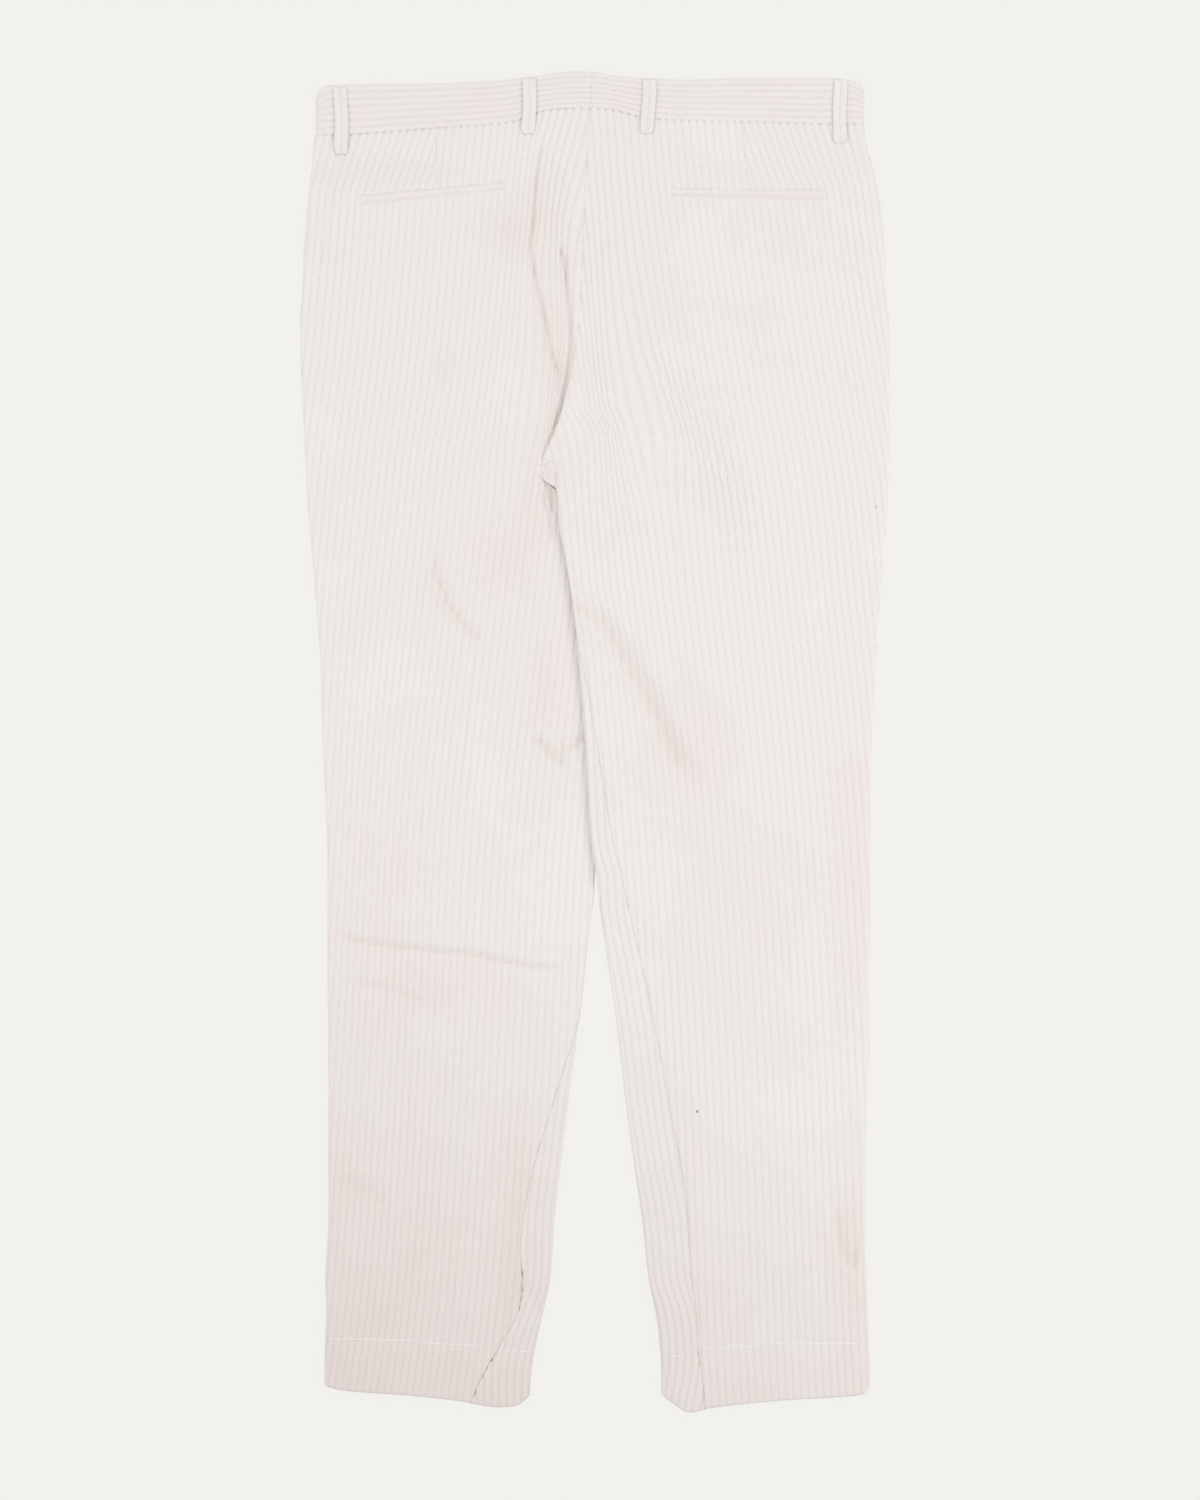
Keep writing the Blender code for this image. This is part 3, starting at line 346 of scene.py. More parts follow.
# Pocket welts: name, then x, lower y and upper y at the left end and at the right end.
WELTS = {
    "left": ("back_pocket_welt_left", -188.8, 427.8, 436.4, -71.2, 440.6, 447.6),
    "right": ("back_pocket_welt_right", 59.2, 436.0, 442.6, 183.6, 431.8, 440.8),
}


def unevenness(x, y, size, seed):
    """Slow random heights from -1 to 1, with bumps about size millimetres apart."""
    lattice = np.random.default_rng(seed).uniform(-1.0, 1.0, (160, 160))
    gx = np.asarray(x) / size + 60.0
    gy = np.asarray(y) / size + 70.0
    i = np.clip(gx.astype(int), 0, 158)
    j = np.clip(gy.astype(int), 0, 158)
    s = soft_step(0.0, 1.0, gx - i)
    t = soft_step(0.0, 1.0, gy - j)
    low = lattice[i, j] * (1.0 - s) + lattice[i + 1, j] * s
    high = lattice[i, j + 1] * (1.0 - s) + lattice[i + 1, j + 1] * s
    return low * (1.0 - t) + high * t


def over(y):
    """1 where the right leg's inner edge lies on the left leg's."""
    return soft_step(222.0, 197.0, y) * soft_step(-138.0, -104.0, y)


def band_height(x):
    middle = soft_step(-46.0, -8.0, x) * soft_step(82.0, 40.0, x)
    return BAND_SIDE_TOP + (BAND_CENTRE_TOP - BAND_SIDE_TOP) * middle


def front_lift(side, u, y):
    """Height of the front panel's outer face: 0 where it rests on the floor."""
    x = TURN[side] * u
    height = BAND_LIFT * soft_step(36.0, 20.0, front_waist(x) - y)
    if side == "left":
        return height
    away = x - CENTRE_X(np.maximum(y, CROTCH_Y))
    fly = soft_step(FLY_LAP + 13.0, FLY_LAP + 1.0, away)
    height = height + 2.0 * fly * soft_step(FLY_END_Y - 30.0, FLY_END_Y - 8.0, y)
    lap_edge = INSIDE_X["left"](y)
    return np.maximum(height, OVER_LIFT * over(y) * soft_step(lap_edge + 26.0, lap_edge + 4.0, x))


def hem_layers(y):
    """Extra thickness where the hem is turned up inside."""
    return HEM_EXTRA * soft_step(HEM_DEPTH_Y + 2.0, HEM_DEPTH_Y - 2.0, y)


def pocket_mouth(side, x, y):
    """How far the panel sinks along the pocket's opening, just above its welt."""
    _, x0, low0, high0, x1, low1, high1 = WELTS[side]
    share = np.clip((x - x0) / (x1 - x0), 0.0, 1.0)
    high = high0 + (high1 - high0) * share
    ends = soft_step(x0 + 0.3, x0 + 1.5, x) * soft_step(x1 - 0.3, x1 - 1.5, x)
    return ends * WELT_MOUTH * np.exp(-(((y - high - 0.5) / 0.6) ** 2))


# Below the crotch point: the right panel's tip is curled under, the left one's edge is a ridge.
CROTCH_CREASES = {
    "left": (
        (-3.4, 0.0, 1.9, 0.0, ((-40, 212), (-38, 206), (-35.6, 199), (-34.0, 191), (-33, 182))),
        (0.9, 0.0, 1.2, 0.0, ((-44, 209), (-41.6, 203), (-38, 194), (-36, 186), (-35, 178))),
        (-1.6, 0.0, 1.1, 0.0, ((-44.5, 203), (-42, 196), (-39, 187), (-38, 180), (-34.6, 172), (-33, 158))),
    ),
    "right": (
        (-1.6, 0.0, 4.0, 0.0, ((-40, 224), (-36, 219), (-34.4, 212), (-35, 203))),
        (1.4, 0.0, 1.3, 0.0, ((-40, 221), (-36.5, 218.5), (-35, 214.5), (-38, 210))),
        (-1.3, 0.0, 1.0, 0.0, ((-44, 224), (-37, 224.4), (-31.6, 223), (-31.0, 216), (-31.4, 204))),
    ),
}


def back_top(side, u, y, detail=True):
    """Height of the back panel's outer face along the tops of its wales."""
    x = TURN[side] * u
    to_band = band_height(x) - 0.4 - LEG_HEIGHT
    height = LEG_HEIGHT + to_band * soft_step(95.0, 4.0, WAIST_Y(x) - y)
    if side == "left":
        seat = soft_step(324.0, 296.0, y) * soft_step(CROTCH_Y - 14.0, CROTCH_Y + 4.0, y)
        height = height - SEAT_DROP * seat * soft_step(13.0, 2.0, CENTRE_X(np.maximum(y, CROTCH_Y)) - x)
        margin = soft_step(222.0, 206.0, y) * soft_step(-150.0, -112.0, y)
        right_edge = INSIDE_X["right"](y)
        height = height - UNDER_MARGIN * margin * soft_step(right_edge - 30.0, right_edge - 3.0, x)
    else:
        left_edge = INSIDE_X["left"](y)
        rise = soft_step(left_edge + 42.0, left_edge + 6.0, x)
        height = height + (OVER_LIFT + OVER_STACK - LEG_HEIGHT) * over(y) * rise
    height = height - pocket_mouth(side, x, y)
    window = soft_step(3.0, 12.0, u - outer_edge(side, y))
    edge_free = soft_step(2.0, 12.0, inner_edge(side, y) - u)
    window = window * np.where(y < CROTCH_Y, edge_free, 1.0)
    if detail:
        slow = 0.28 * unevenness(x, y, 46.0, 3) + 0.12 * unevenness(x, y, 17.0, 5)
        height = height + window * (crease_lift(BACK_CREASES[side], x, y) + slow)
        height = height + crease_lift(CROTCH_CREASES[side], x, y)
    least = front_lift(side, u, y) + LEAST_STACK + 2.0 * hem_layers(y)
    return np.maximum(height, least)


print("legs lie", LEG_HEIGHT, "mm high")

# %% [markdown]
# ## Where the wales run
# Corduroy's wales follow the grain, so they lean as the leg narrows and fan out below a dart or
# beside a crease. Each wale starts at the waist and is walked down the leg a millimetre at a
# time, turning by the lean at that place. A flat texture could draw stripes, but it could not
# turn them round a fold or crowd them into a crease.

# %% Lean of the wales
WALE_PITCH = 6.0
# y, left lean, right lean: degrees, positive where a wale going down nears the outer fold.
LEANS = (
    (-540.0, 9.0, 4.0), (-490.0, 8.0, 3.0), (-426.0, 5.0, 2.0), (-362.0, 3.6, 2.0),
    (-298.0, 3.2, 2.4), (-234.0, 2.8, 3.0), (-170.0, 2.6, 3.4), (-106.0, 3.5, 4.0),
    (-42.0, 5.3, 4.7), (22.0, 7.0, 6.0), (86.0, 6.8, 7.0), (150.0, 6.6, 6.0),
    (214.0, 5.6, 8.6), (246.0, 8.0, 10.6), (278.0, 7.8, 10.0), (303.0, 7.0, 9.6),
    (326.0, 5.8, 9.2), (374.0, 5.0, 8.6), (422.0, 4.6, 7.4), (470.0, 6.2, 5.2), (540.0, 6.2, 4.0),
)
# Places where the wales lean otherwise: side, x, y, reach in x, reach in y, degrees added.
PULLS = (
    ("left", -12.0, 440.0, 17.0, 62.0, 12.0),
    ("left", -36.0, 492.0, 20.0, 24.0, 9.0),
    ("left", -36.0, 350.0, 12.0, 40.0, -13.0),
    ("left", -120.0, 246.0, 22.0, 28.0, 3.0),
    ("left", -220.0, 20.0, 36.0, 110.0, -6.0),
    ("right", 8.0, 350.0, 17.0, 90.0, -6.0),
    ("right", 30.0, 344.0, 16.0, 30.0, 3.0),
    ("right", 42.0, 298.0, 17.0, 24.0, 8.0),
    ("right", 62.0, 266.0, 18.0, 20.0, 6.0),
    ("right", -4.0, 259.0, 26.0, 9.0, 27.0),
    ("right", 36.0, 222.0, 36.0, 22.0, -5.5),
    ("right", 160.0, 458.0, 50.0, 26.0, 3.0),
    ("right", 0.0, 100.0, 16.0, 26.0, 6.0),
)
FRONT_LEANS = (
    (-540.0, 7.0, 7.5), (-200.0, 6.0, 6.5), (-100.0, 4.5, 4.5), (60.0, 3.0, 3.5),
    (222.0, 2.5, 2.5), (540.0, 2.0, 2.0),
)
LEAN_COLUMN = {"left": 1, "right": 2}
TOP_Y = 540
# Places across one wale where the mesh has a column, 0 and 1 being the grooves.
BACK_PHASES = (0.0, 0.06, 0.15, 0.3, 0.5, 0.7, 0.85, 0.94)
FRONT_PHASES = (0.0, 0.1, 0.27, 0.5, 0.73, 0.9)


def wale_walk(side, wales, leans, pulls):
    """The u of each groove at every millimetre down from the top: an array of groove by level."""
    lean = line_through(leans, LEAN_COLUMN[side])
    u = np.array(wales) * WALE_PITCH
    found = [u]
    for level in range(TOP_Y, -TOP_Y, -1):
        degrees = np.full(u.shape, float(lean(level)))
        for where, px, py, rx, ry, more in pulls:
            if where == side:
                apart = ((TURN[side] * u - px) / rx) ** 2 + ((level - py) / ry) ** 2
                degrees = degrees + more * np.exp(-apart)
        u = u - np.tan(np.radians(degrees))
        # crowded wales even out again once they have left the creases of the seat
        spread = 0.012 + 0.35 * float(soft_step(262.0, 190.0, float(level)))
        u[1:-1] += 0.5 * spread * (u[2:] - 2.0 * u[1:-1] + u[:-2])
        found.append(u)
    return np.array(found).T


def read_walk(walk, y):
    """Each wale's u at its own y: y is an array of row by wale."""
    down = np.clip(TOP_Y - y, 0.0, walk.shape[1] - 1.001)
    i = down.astype(int)
    column = np.arange(walk.shape[0])[None, :]
    part = down - i
    return walk[column, i] * (1.0 - part) + walk[column, i + 1] * part


# %% [markdown]
# ## Darts
# Two darts below the waistband take in a small wedge of cloth, so the wales fan out beneath
# them. The wedge is eaten from one side: a wale that falls inside it disappears into the seam.

# %% Darts
DART_DEEP = 52.0
DART_TAKE = 12.0


def dart(side, y):
    """The dart's u, and how much cloth it has taken at that level."""
    if side == "left":
        x = -128.0 + (WAIST_LEVEL - y) * 0.04
    else:
        x = 117.0 + (WAIST_LEVEL - y) * 0.11
    take = DART_TAKE * np.clip((y - WAIST_Y(x) + DART_DEEP) / DART_DEEP, 0.0, 1.0)
    return TURN[side] * x, take


def gather_to_dart(side, u, y):
    middle, take = dart(side, y)
    pulled = np.minimum(u + take * soft_step(150.0, 50.0, middle - u), middle)
    return np.where(u < middle, pulled, u)


def dart_ditch(side, u, y):
    middle, take = dart(side, y)
    return 0.6 * np.clip(take / 5.0, 0.0, 1.0) * np.exp(-(((u - middle) / 1.0) ** 2))


# %% [markdown]
# ## From flat cloth to folded cloth
# A panel is easiest to think of unrolled. A place on it has v, the distance across the cloth,
# and y, the distance up it. On top of the leg v is just u; past the fold it turns down a quarter
# of an ellipse to the seam in the middle of the fold. The front panel does the same from below,
# and where the seam lies on top of the leg it runs on over the inner fold.

# %% The folds of a leg
FOLD_RADIUS = 3.2
INNER_FOLD_RADIUS = 2.0


def fold(side, y, inner, detail=True):
    """Edge, inward direction, reach, middle height, half height, arc length and share of a fold."""
    edge = inner_edge(side, y) if inner else outer_edge(side, y)
    inward = -1.0 if inner else 1.0
    radius = INNER_FOLD_RADIUS if inner else FOLD_RADIUS
    near = edge + inward * radius
    low = front_lift(side, near, y)
    high = back_top(side, near, y, detail)
    half = (high - low) / 2.0
    share = soft_step(222.5, 218.0, y) if inner else np.ones(np.shape(y))
    reach = np.minimum(radius, half) * share
    arc = share * math.pi / 2.0 * np.sqrt((reach**2 + half**2) / 2.0)
    return edge, inward, reach, (high + low) / 2.0, half, arc, share


def round_fold(shape, past, below):
    """The place on a fold at a distance past its start, from the top or from below."""
    edge, inward, reach, middle, half, arc, share = shape
    angle = math.pi / 2.0 * (1.0 - share * past / np.maximum(arc, 1e-6))
    side = -1.0 if below else 1.0
    return edge + inward * reach * (1.0 - np.cos(angle)), middle + side * half * np.sin(angle)


def inseam_lap(side, y):
    """How far the back panel runs on under the front one at an inseam that lies on top."""
    return SEAM_LAP * soft_step(2.0, 6.0, INSEAM_IN[side](y)) * (y < CROTCH_Y - 0.5)


def side_seam(side, y):
    """The v of the seam in the middle of the outer fold, where both panels begin."""
    edge, _, reach, _, _, arc, _ = fold(side, y, False)
    return edge + reach - arc + SEAM_GAP / 2.0


def back_range(side, y):
    """Lowest and highest v of the back panel."""
    low = side_seam(side, y)
    edge, _, reach, _, _, arc, _ = fold(side, y, True)
    inseam = INSEAM_IN[side](y) * (y < CROTCH_Y - 0.5)
    near = edge - reach + arc * (1.0 - inseam / np.maximum(reach, 1e-6))
    high = np.where(inseam < reach, near, edge - inseam) - SEAM_GAP / 2.0
    high = high + inseam_lap(side, y)
    if side == "left":
        high = high + np.where(y > CROTCH_Y, SEAM_UNDER * soft_step(336.0, 306.0, y), 0.0)
    return low, high


def back_point(side, v, y):
    """Plan u and height z of a place on the back panel."""
    outer = fold(side, y, False)
    inner = fold(side, y, True)
    first = outer[0] + outer[2]
    last = np.where(y < CROTCH_Y - 0.5, inner[0] - inner[2], 1e9)
    window = soft_step(4.0, 20.0, v - first) * soft_step(0.0, 5.0, inner[0] - inner[2] - v)
    u = np.clip(v, first, last)
    u = u + crease_pinch(side, u, y) * window
    z = back_top(side, u, y)
    ou, oz = round_fold(outer, first - v, False)
    iu, iz = round_fold(inner, v - last, False)
    u = np.where(v < first, ou, np.where(v > last, iu, u))
    z = np.where(v < first, oz, np.where(v > last, iz, z))
    return u, z


def laid_at(side, v, y, front):
    """The u where a place of the unrolled cloth ends up: past the inner fold it comes back."""
    edge, _, reach, _, _, arc, _ = fold(side, y, True, False)
    below = y < CROTCH_Y - 0.5
    u = np.clip(v, outer_edge(side, y), np.where(below, edge, 1e9))
    if front:
        u = np.minimum(u, np.where(below, 2.0 * (edge - reach + arc) - v, 1e9))
    return u


# %% The front panel, from below
FRONT_CREASES = {
    "left": (
        (0.8, 0.3, 4.0, 0.0, ((-60, 230), (-100, 250), (-160, 262))),
        (0.7, 0.2, 3.5, 0.0, ((-52, 205), (-96, 196), (-150, 204))),
        (0.7, 0.3, 4.5, 0.0, ((-200, -30), (-150, -48), (-96, -44), (-40, -52))),
        (0.6, 0.0, 4.0, 0.0, ((-190, -80), (-130, -92), (-70, -84))),
        (0.5, 0.2, 5.0, 0.0, ((-200, -380), (-140, -398), (-90, -392))),
        (0.35, 0.0, 1.1, 0.0, ((-128, 300), (-122, 0), (-128, -300), (-132, -470))),
    ),
    "right": (
        (0.8, 0.3, 4.0, 0.0, ((40, 236), (84, 250), (150, 256))),
        (0.7, 0.2, 3.5, 0.0, ((34, 200), (80, 190), (140, 196))),
        (0.7, 0.3, 4.5, 0.0, ((60, -40), (110, -58), (170, -50), (208, -60))),
        (0.6, 0.0, 4.0, 0.0, ((70, -96), (120, -104), (180, -92))),
        (0.5, 0.2, 5.0, 0.0, ((96, -372), (150, -390), (204, -384))),
        (0.35, 0.0, 1.1, 0.0, ((122, 300), (118, 0), (126, -300), (130, -470))),
    ),
}


def front_under(side, u, y):
    """The front's outer face with its creases pushed up from the floor."""
    x = TURN[side] * u
    free = soft_step(6.0, 16.0, u - outer_edge(side, y)) * soft_step(6.0, 16.0, inner_edge(side, y) - u)
    free = free * soft_step(60.0, 90.0, front_waist(x) - y)
    return front_lift(side, u, y) + free * np.maximum(0.0, crease_lift(FRONT_CREASES[side], x, y))


def front_range(side, y):
    """Lowest and highest v of the front panel."""
    low = side_seam(side, y)
    edge, _, reach, _, _, arc, _ = fold(side, y, True)
    below = y < CROTCH_Y - 0.5
    inseam = INSEAM_IN[side](y) * below
    near = edge - reach + arc * (1.0 + inseam / np.maximum(reach, 1e-6))
    high = np.where(inseam < reach, near, edge - 2.0 * reach + 2.0 * arc + inseam)
    high = high - SEAM_GAP / 2.0
    if side == "left":
        high = high + np.where(below, 0.0, FLY_LAP * soft_step(FLY_END_Y, FLY_END_Y + 20.0, y))
    return low, high


def front_point(side, v, y):
    outer = fold(side, y, False)
    inner = fold(side, y, True)
    first = outer[0] + outer[2]
    last = np.where(y < CROTCH_Y, inner[0] - inner[2], 1e9)
    arc = inner[5]
    u = np.clip(v, first, last)
    z = front_under(side, u, y)
    ou, oz = round_fold(outer, first - v, True)
    low_u, low_z = round_fold(inner, v - last, True)
    high_u, high_z = round_fold(inner, 2.0 * arc - (v - last), False)
    top_u = 2.0 * last - v + 2.0 * arc
    u = np.where(v < first, ou, np.where(v > last, low_u, u))
    z = np.where(v < first, oz, np.where(v > last, low_z, z))
    u = np.where(v > last + arc, high_u, u)
    z = np.where(v > last + arc, high_z, z)
    on_top = v > last + 2.0 * arc
    u = np.where(on_top, top_u, u)
    z = np.where(on_top, back_top(side, np.where(on_top, top_u, 0.0), y), z)
    return u, z


# %% [markdown]
# ## A thin closed shell
# Cloth has two faces and a cut edge. The outer face is a fine grid whose columns run along the
# wales, the inner face is a coarse plain grid a little way inside, and a strip of triangles
# closes the border. Blender's Solidify would do this too, but it would double the fine grid,
# and the inside is hardly ever seen.


# %% Grids and the strip between them
def numbered_grid(apart, first):
    """Numbers the places of a grid, giving one number to places that coincide along a row."""
    new = np.ones(apart.shape, bool)
    new[:, 1:] = apart[:, 1:] > 1e-6
    return new, first - 1 + np.cumsum(new.ravel()).reshape(new.shape)


def grid_faces(number):
    a, b = number[:-1, :-1], number[:-1, 1:]
    d, c = number[1:, :-1], number[1:, 1:]
    faces = np.concatenate([np.stack([a, b, c], -1).reshape(-1, 3),
                            np.stack([a, c, d], -1).reshape(-1, 3)])
    whole = (faces[:, 0] != faces[:, 1]) & (faces[:, 1] != faces[:, 2])
    return faces[whole & (faces[:, 0] != faces[:, 2])]


def strip(first, second, points):
    """Triangles between two lines of places, matched by their share of length."""
    lines = []
    for line in (first, second):
        line = line[np.concatenate(([True], np.diff(line) != 0))]
        steps = np.linalg.norm(np.diff(points[line], axis=0), axis=1)
        share = np.concatenate(([0.0], np.cumsum(steps)))
        lines.append((line, share / max(share[-1], 1e-9)))
    (a, a_share), (b, b_share) = lines
    i = 0
    j = 0
    faces = []
    while i < len(a) - 1 or j < len(b) - 1:
        if j == len(b) - 1 or (i < len(a) - 1 and a_share[i + 1] <= b_share[j + 1]):
            faces.append((a[i], b[j], a[i + 1]))
            i += 1
        else:
            faces.append((a[i], b[j], b[j + 1]))
            j += 1
    return faces


def closed_shell(outer, inner, points):
    """All triangles of a shell from its two numbered grids."""
    faces = [grid_faces(outer), grid_faces(inner)[:, ::-1]]
    faces.append(np.array(strip(inner[0], outer[0], points)))
    faces.append(np.array(strip(outer[-1], inner[-1], points)))
    faces.append(np.array(strip(outer[:, 0], inner[:, 0], points)))
    faces.append(np.array(strip(inner[:, -1], outer[:, -1], points)))
    return np.concatenate(faces)


def outward(points, faces):
    """The triangles turned so that they face outward."""
    a, b, c = (points[faces[:, k]] for k in range(3))
    volume = np.einsum("ij,ij->i", a, np.cross(b, c)).sum()
    return faces if volume > 0.0 else faces[:, ::-1]


# %% A mesh object from arrays
def cloth_object(name, points, faces, pile, material, patches_and_painted_shade=None):
    """A smooth mesh with its wale height and its painted crease shade in attributes the finish reads."""
    faces = outward(points, faces)
    data = bpy.data.meshes.new(name)
    data.vertices.add(len(points))
    data.vertices.foreach_set("co", (points * MM).astype(np.float32).ravel())
    data.loops.add(faces.size)
    data.loops.foreach_set("vertex_index", np.ascontiguousarray(faces).astype(np.int32).ravel())
    data.polygons.add(len(faces))
    data.polygons.foreach_set("loop_start", np.arange(0, faces.size, 3, dtype=np.int32))
    data.update(calc_edges=True)
    data.shade_smooth()
    heights = data.attributes.new("pile", "FLOAT", "POINT")
    heights.data.foreach_set("value", pile.astype(np.float32))
    if patches_and_painted_shade is not None:
        painted_shade_layer = data.attributes.new("patches_and_painted_shade", "FLOAT", "POINT")
        painted_shade_layer.data.foreach_set("value", patches_and_painted_shade.astype(np.float32))
    data.materials.append(material)
    thing = bpy.data.objects.new(name, data)
    bpy.context.scene.collection.objects.link(thing)
    print(f"{name}: {len(faces)} triangles")
    return thing


def places(x, y, z):
    """Places in rows of three, from lengths that may be whole arrays or single numbers."""
    return np.stack(np.broadcast_arrays(x, y, z), -1)


def face_directions(place, v, y, step=0.3):
    """Unit normals of a surface given as a function of v and y."""
    here = place(v, y)
    across = place(v + step, y) - here
    along = place(v, y + step) - here
    normal = np.cross(across, along)
    return here, normal / np.maximum(np.linalg.norm(normal, axis=-1, keepdims=True), 1e-9)


# %% [markdown]
# ## The corduroy
# Wide-wale corduroy is woven with loops of pile that are cut and brushed into rounded cords
# about 6 mm apart. The cord is broad and round and the groove between two cords is narrow. The
# grooves are given a darker, warmer colour than the cords: painted shade. Brushed pile scatters
# light at grazing angles, which sheen gives, and it is never quite even, which two sizes of noise
# give.


# %% Two specks of dirt: x and y on the cloth in metres, and how dark
# Height isn't looked at, so a speck on the back also marks the front panel under it.
SPECKS = ((0.0816, -0.2948, 0.75), (0.2246, 0.1884, 0.2))


def specks(nodes, links, place, colour):
    flat = nodes.new("ShaderNodeVectorMath")
    flat.operation = "MULTIPLY"
    flat.inputs[1].default_value = (1.0, 1.0, 0.0)
    links.new(place.outputs["Object"], flat.inputs[0])
    for x, y, strength in SPECKS:
        away = nodes.new("ShaderNodeVectorMath")
        away.operation = "DISTANCE"
        away.inputs[1].default_value = (x, y, 0.0)
        links.new(flat.outputs["Vector"], away.inputs[0])
        spot = nodes.new("ShaderNodeMapRange")
        spot.inputs["From Min"].default_value = 0.0014
        spot.inputs["From Max"].default_value = 0.0006
        spot.inputs["To Max"].default_value = strength
        links.new(away.outputs["Value"], spot.inputs["Value"])
        dirt = nodes.new("ShaderNodeMix")
        dirt.data_type = "RGBA"
        dirt.inputs["B"].default_value = (0.12, 0.1, 0.08, 1.0)
        links.new(colour, dirt.inputs["A"])
        links.new(spot.outputs["Result"], dirt.inputs["Factor"])
        colour = dirt.outputs["Result"]
    return colour


# %% [markdown]
# The finish is a chain of tints. The cord's height picks the ridge colour or the darker groove
# colour, which is painted shade, and then each mix darkens or warms the colour a little: slow
# patches of rosy tone, painted shade toward the hems and the lower left, and rosy painted shade in
# the creases. The helpers below make the links of that chain.

# %% Links of a tint chain
def remapped(nodes, links, value, span, result):
    """A value's span stretched to another one."""
    node = nodes.new("ShaderNodeMapRange")
    node.inputs["From Min"].default_value, node.inputs["From Max"].default_value = span
    node.inputs["To Min"].default_value, node.inputs["To Max"].default_value = result
    links.new(value, node.inputs["Value"])
    return node.outputs["Result"]


def tinted(nodes, links, colour, tint, factor):
    """A colour multiplied by a tint where the factor is 1."""
    node = nodes.new("ShaderNodeMix")
    node.data_type = "RGBA"
    node.blend_type = "MULTIPLY"
    node.inputs["B"].default_value = (*tint, 1.0)
    links.new(colour, node.inputs["A"])
    links.new(factor, node.inputs["Factor"])
    return node.outputs["Result"]


def attribute(nodes, name):
    node = nodes.new("ShaderNodeAttribute")
    node.attribute_name = name
    return node.outputs["Fac"]


def noise(nodes, links, vector, scale, detail):
    node = nodes.new("ShaderNodeTexNoise")
    node.inputs["Scale"].default_value = scale
    node.inputs["Detail"].default_value = detail
    links.new(vector, node.inputs["Vector"])
    return node.outputs["Fac"]


# %% The finish of the cloth
def corduroy_finish(name, ridge_tint, groove_painted_shade):
    material = bpy.data.materials.new(name)
    material.use_nodes = True
    nodes = material.node_tree.nodes
    links = material.node_tree.links
    shader = nodes["Principled BSDF"]
    shader.inputs["Roughness"].default_value = 0.95
    shader.inputs["Specular IOR Level"].default_value = 0.15
    shader.inputs["Sheen Weight"].default_value = 0.25
    shader.inputs["Sheen Roughness"].default_value = 0.5
    place = nodes.new("ShaderNodeTexCoord")
    lengthwise = nodes.new("ShaderNodeMapping")
    lengthwise.inputs["Scale"].default_value = (1.0, 0.35, 1.0)
    links.new(place.outputs["Object"], lengthwise.inputs["Vector"])
    tufts = noise(nodes, links, lengthwise.outputs["Vector"], 900.0, 3.0)
    patches = noise(nodes, links, place.outputs["Object"], 16.0, 4.0)
    # painted shade: the cord's height mixes the cord colour on top with a darker, warmer groove colour
    # between the cords
    cord = nodes.new("ShaderNodeMix")
    cord.data_type = "RGBA"
    cord.inputs["A"].default_value = (*groove_painted_shade, 1.0)
    cord.inputs["B"].default_value = (*ridge_tint, 1.0)
    links.new(attribute(nodes, "pile"), cord.inputs["Factor"])
    # slow rosy patches at random: the cloth's own uneven tone
    patches_and_painted_shade = remapped(nodes, links, patches, (0.35, 0.7), (0.0, 0.45))
    warm = tinted(nodes, links, cord.outputs["Result"], (0.985, 0.955, 0.945), patches_and_painted_shade)
    fleck = remapped(nodes, links, tufts, (0.3, 0.7), (0.965, 1.015))
    # painted shade: the colour darkens and warms toward the hems and the lower left, where the light falls
    # off
    downward = nodes.new("ShaderNodeVectorMath")
    downward.operation = "DOT_PRODUCT"
    downward.inputs[1].default_value = (-0.55, -1.0, 0.0)
    links.new(place.outputs["Object"], downward.inputs[0])
    toward_hem = remapped(nodes, links, downward.outputs["Value"], (0.2, 0.62), (0.0, 1.0))
    painted_falloff = tinted(nodes, links, warm, (0.9, 0.86, 0.849), toward_hem)
    # painted shade: rosy darkening where the panels mark their creases, the crotch gap and the right leg's
    # overlapping edge
    crease_shaded = tinted(nodes, links, painted_falloff, (0.968, 0.93, 0.92), attribute(nodes, "patches_and_painted_shade"))
    nap = nodes.new("ShaderNodeVectorMath")
    nap.operation = "SCALE"
    links.new(specks(nodes, links, place, crease_shaded), nap.inputs[0])
    links.new(fleck, nap.inputs["Scale"])
    links.new(nap.outputs["Vector"], shader.inputs["Base Color"])
    fuzz = nodes.new("ShaderNodeBump")
    fuzz.inputs["Strength"].default_value = 0.22
    fuzz.inputs["Distance"].default_value = 0.0006
    links.new(tufts, fuzz.inputs["Height"])
    links.new(fuzz.outputs["Normal"], shader.inputs["Normal"])
    return material


CORDUROY = corduroy_finish("cream_corduroy", (0.892, 0.857, 0.837), (0.846, 0.8, 0.774))
CORDUROY_ACROSS = corduroy_finish("cream_corduroy_across", (0.886, 0.839, 0.822), (0.845, 0.788, 0.768))

# %% [markdown]
# ## The back panels
# Each back panel is cut in one piece from waist to hem. Its rows are close at the seat, where
# the creases are, and wider down the leg. The pile is taken down along the normal between the
# cords, at the seams and at the turned hem.

# %% Rows of a panel, and the shape of a cord
WALE_RISE = 0.46
FRONT_RISE = 1.5
CLOTH = 1.3
CENTRE_ROLL = 0.25
INSEAM_ROLL = {"front": 0.4, "back": 0.9}
# Border places of a panel take this pile, which gives them part of the painted groove shade.
EDGE_PILE = 0.4
WAIST_DITCH = 0.5
EDGE_LEVELS = (-1.2, -0.5, 0.0, 0.5, 1.2, 2.2, 3.5)
HEM_LEVELS = (3.4, 2.1, 1.2, 0.5, 0.0)
POCKET_TOP = 453.0
POCKET_LOW = 427.0
KINK_TOP = 273.0
KINK_LOW = 207.0
KNEE_TOP = -150.0
KNEE_LOW = -208.0


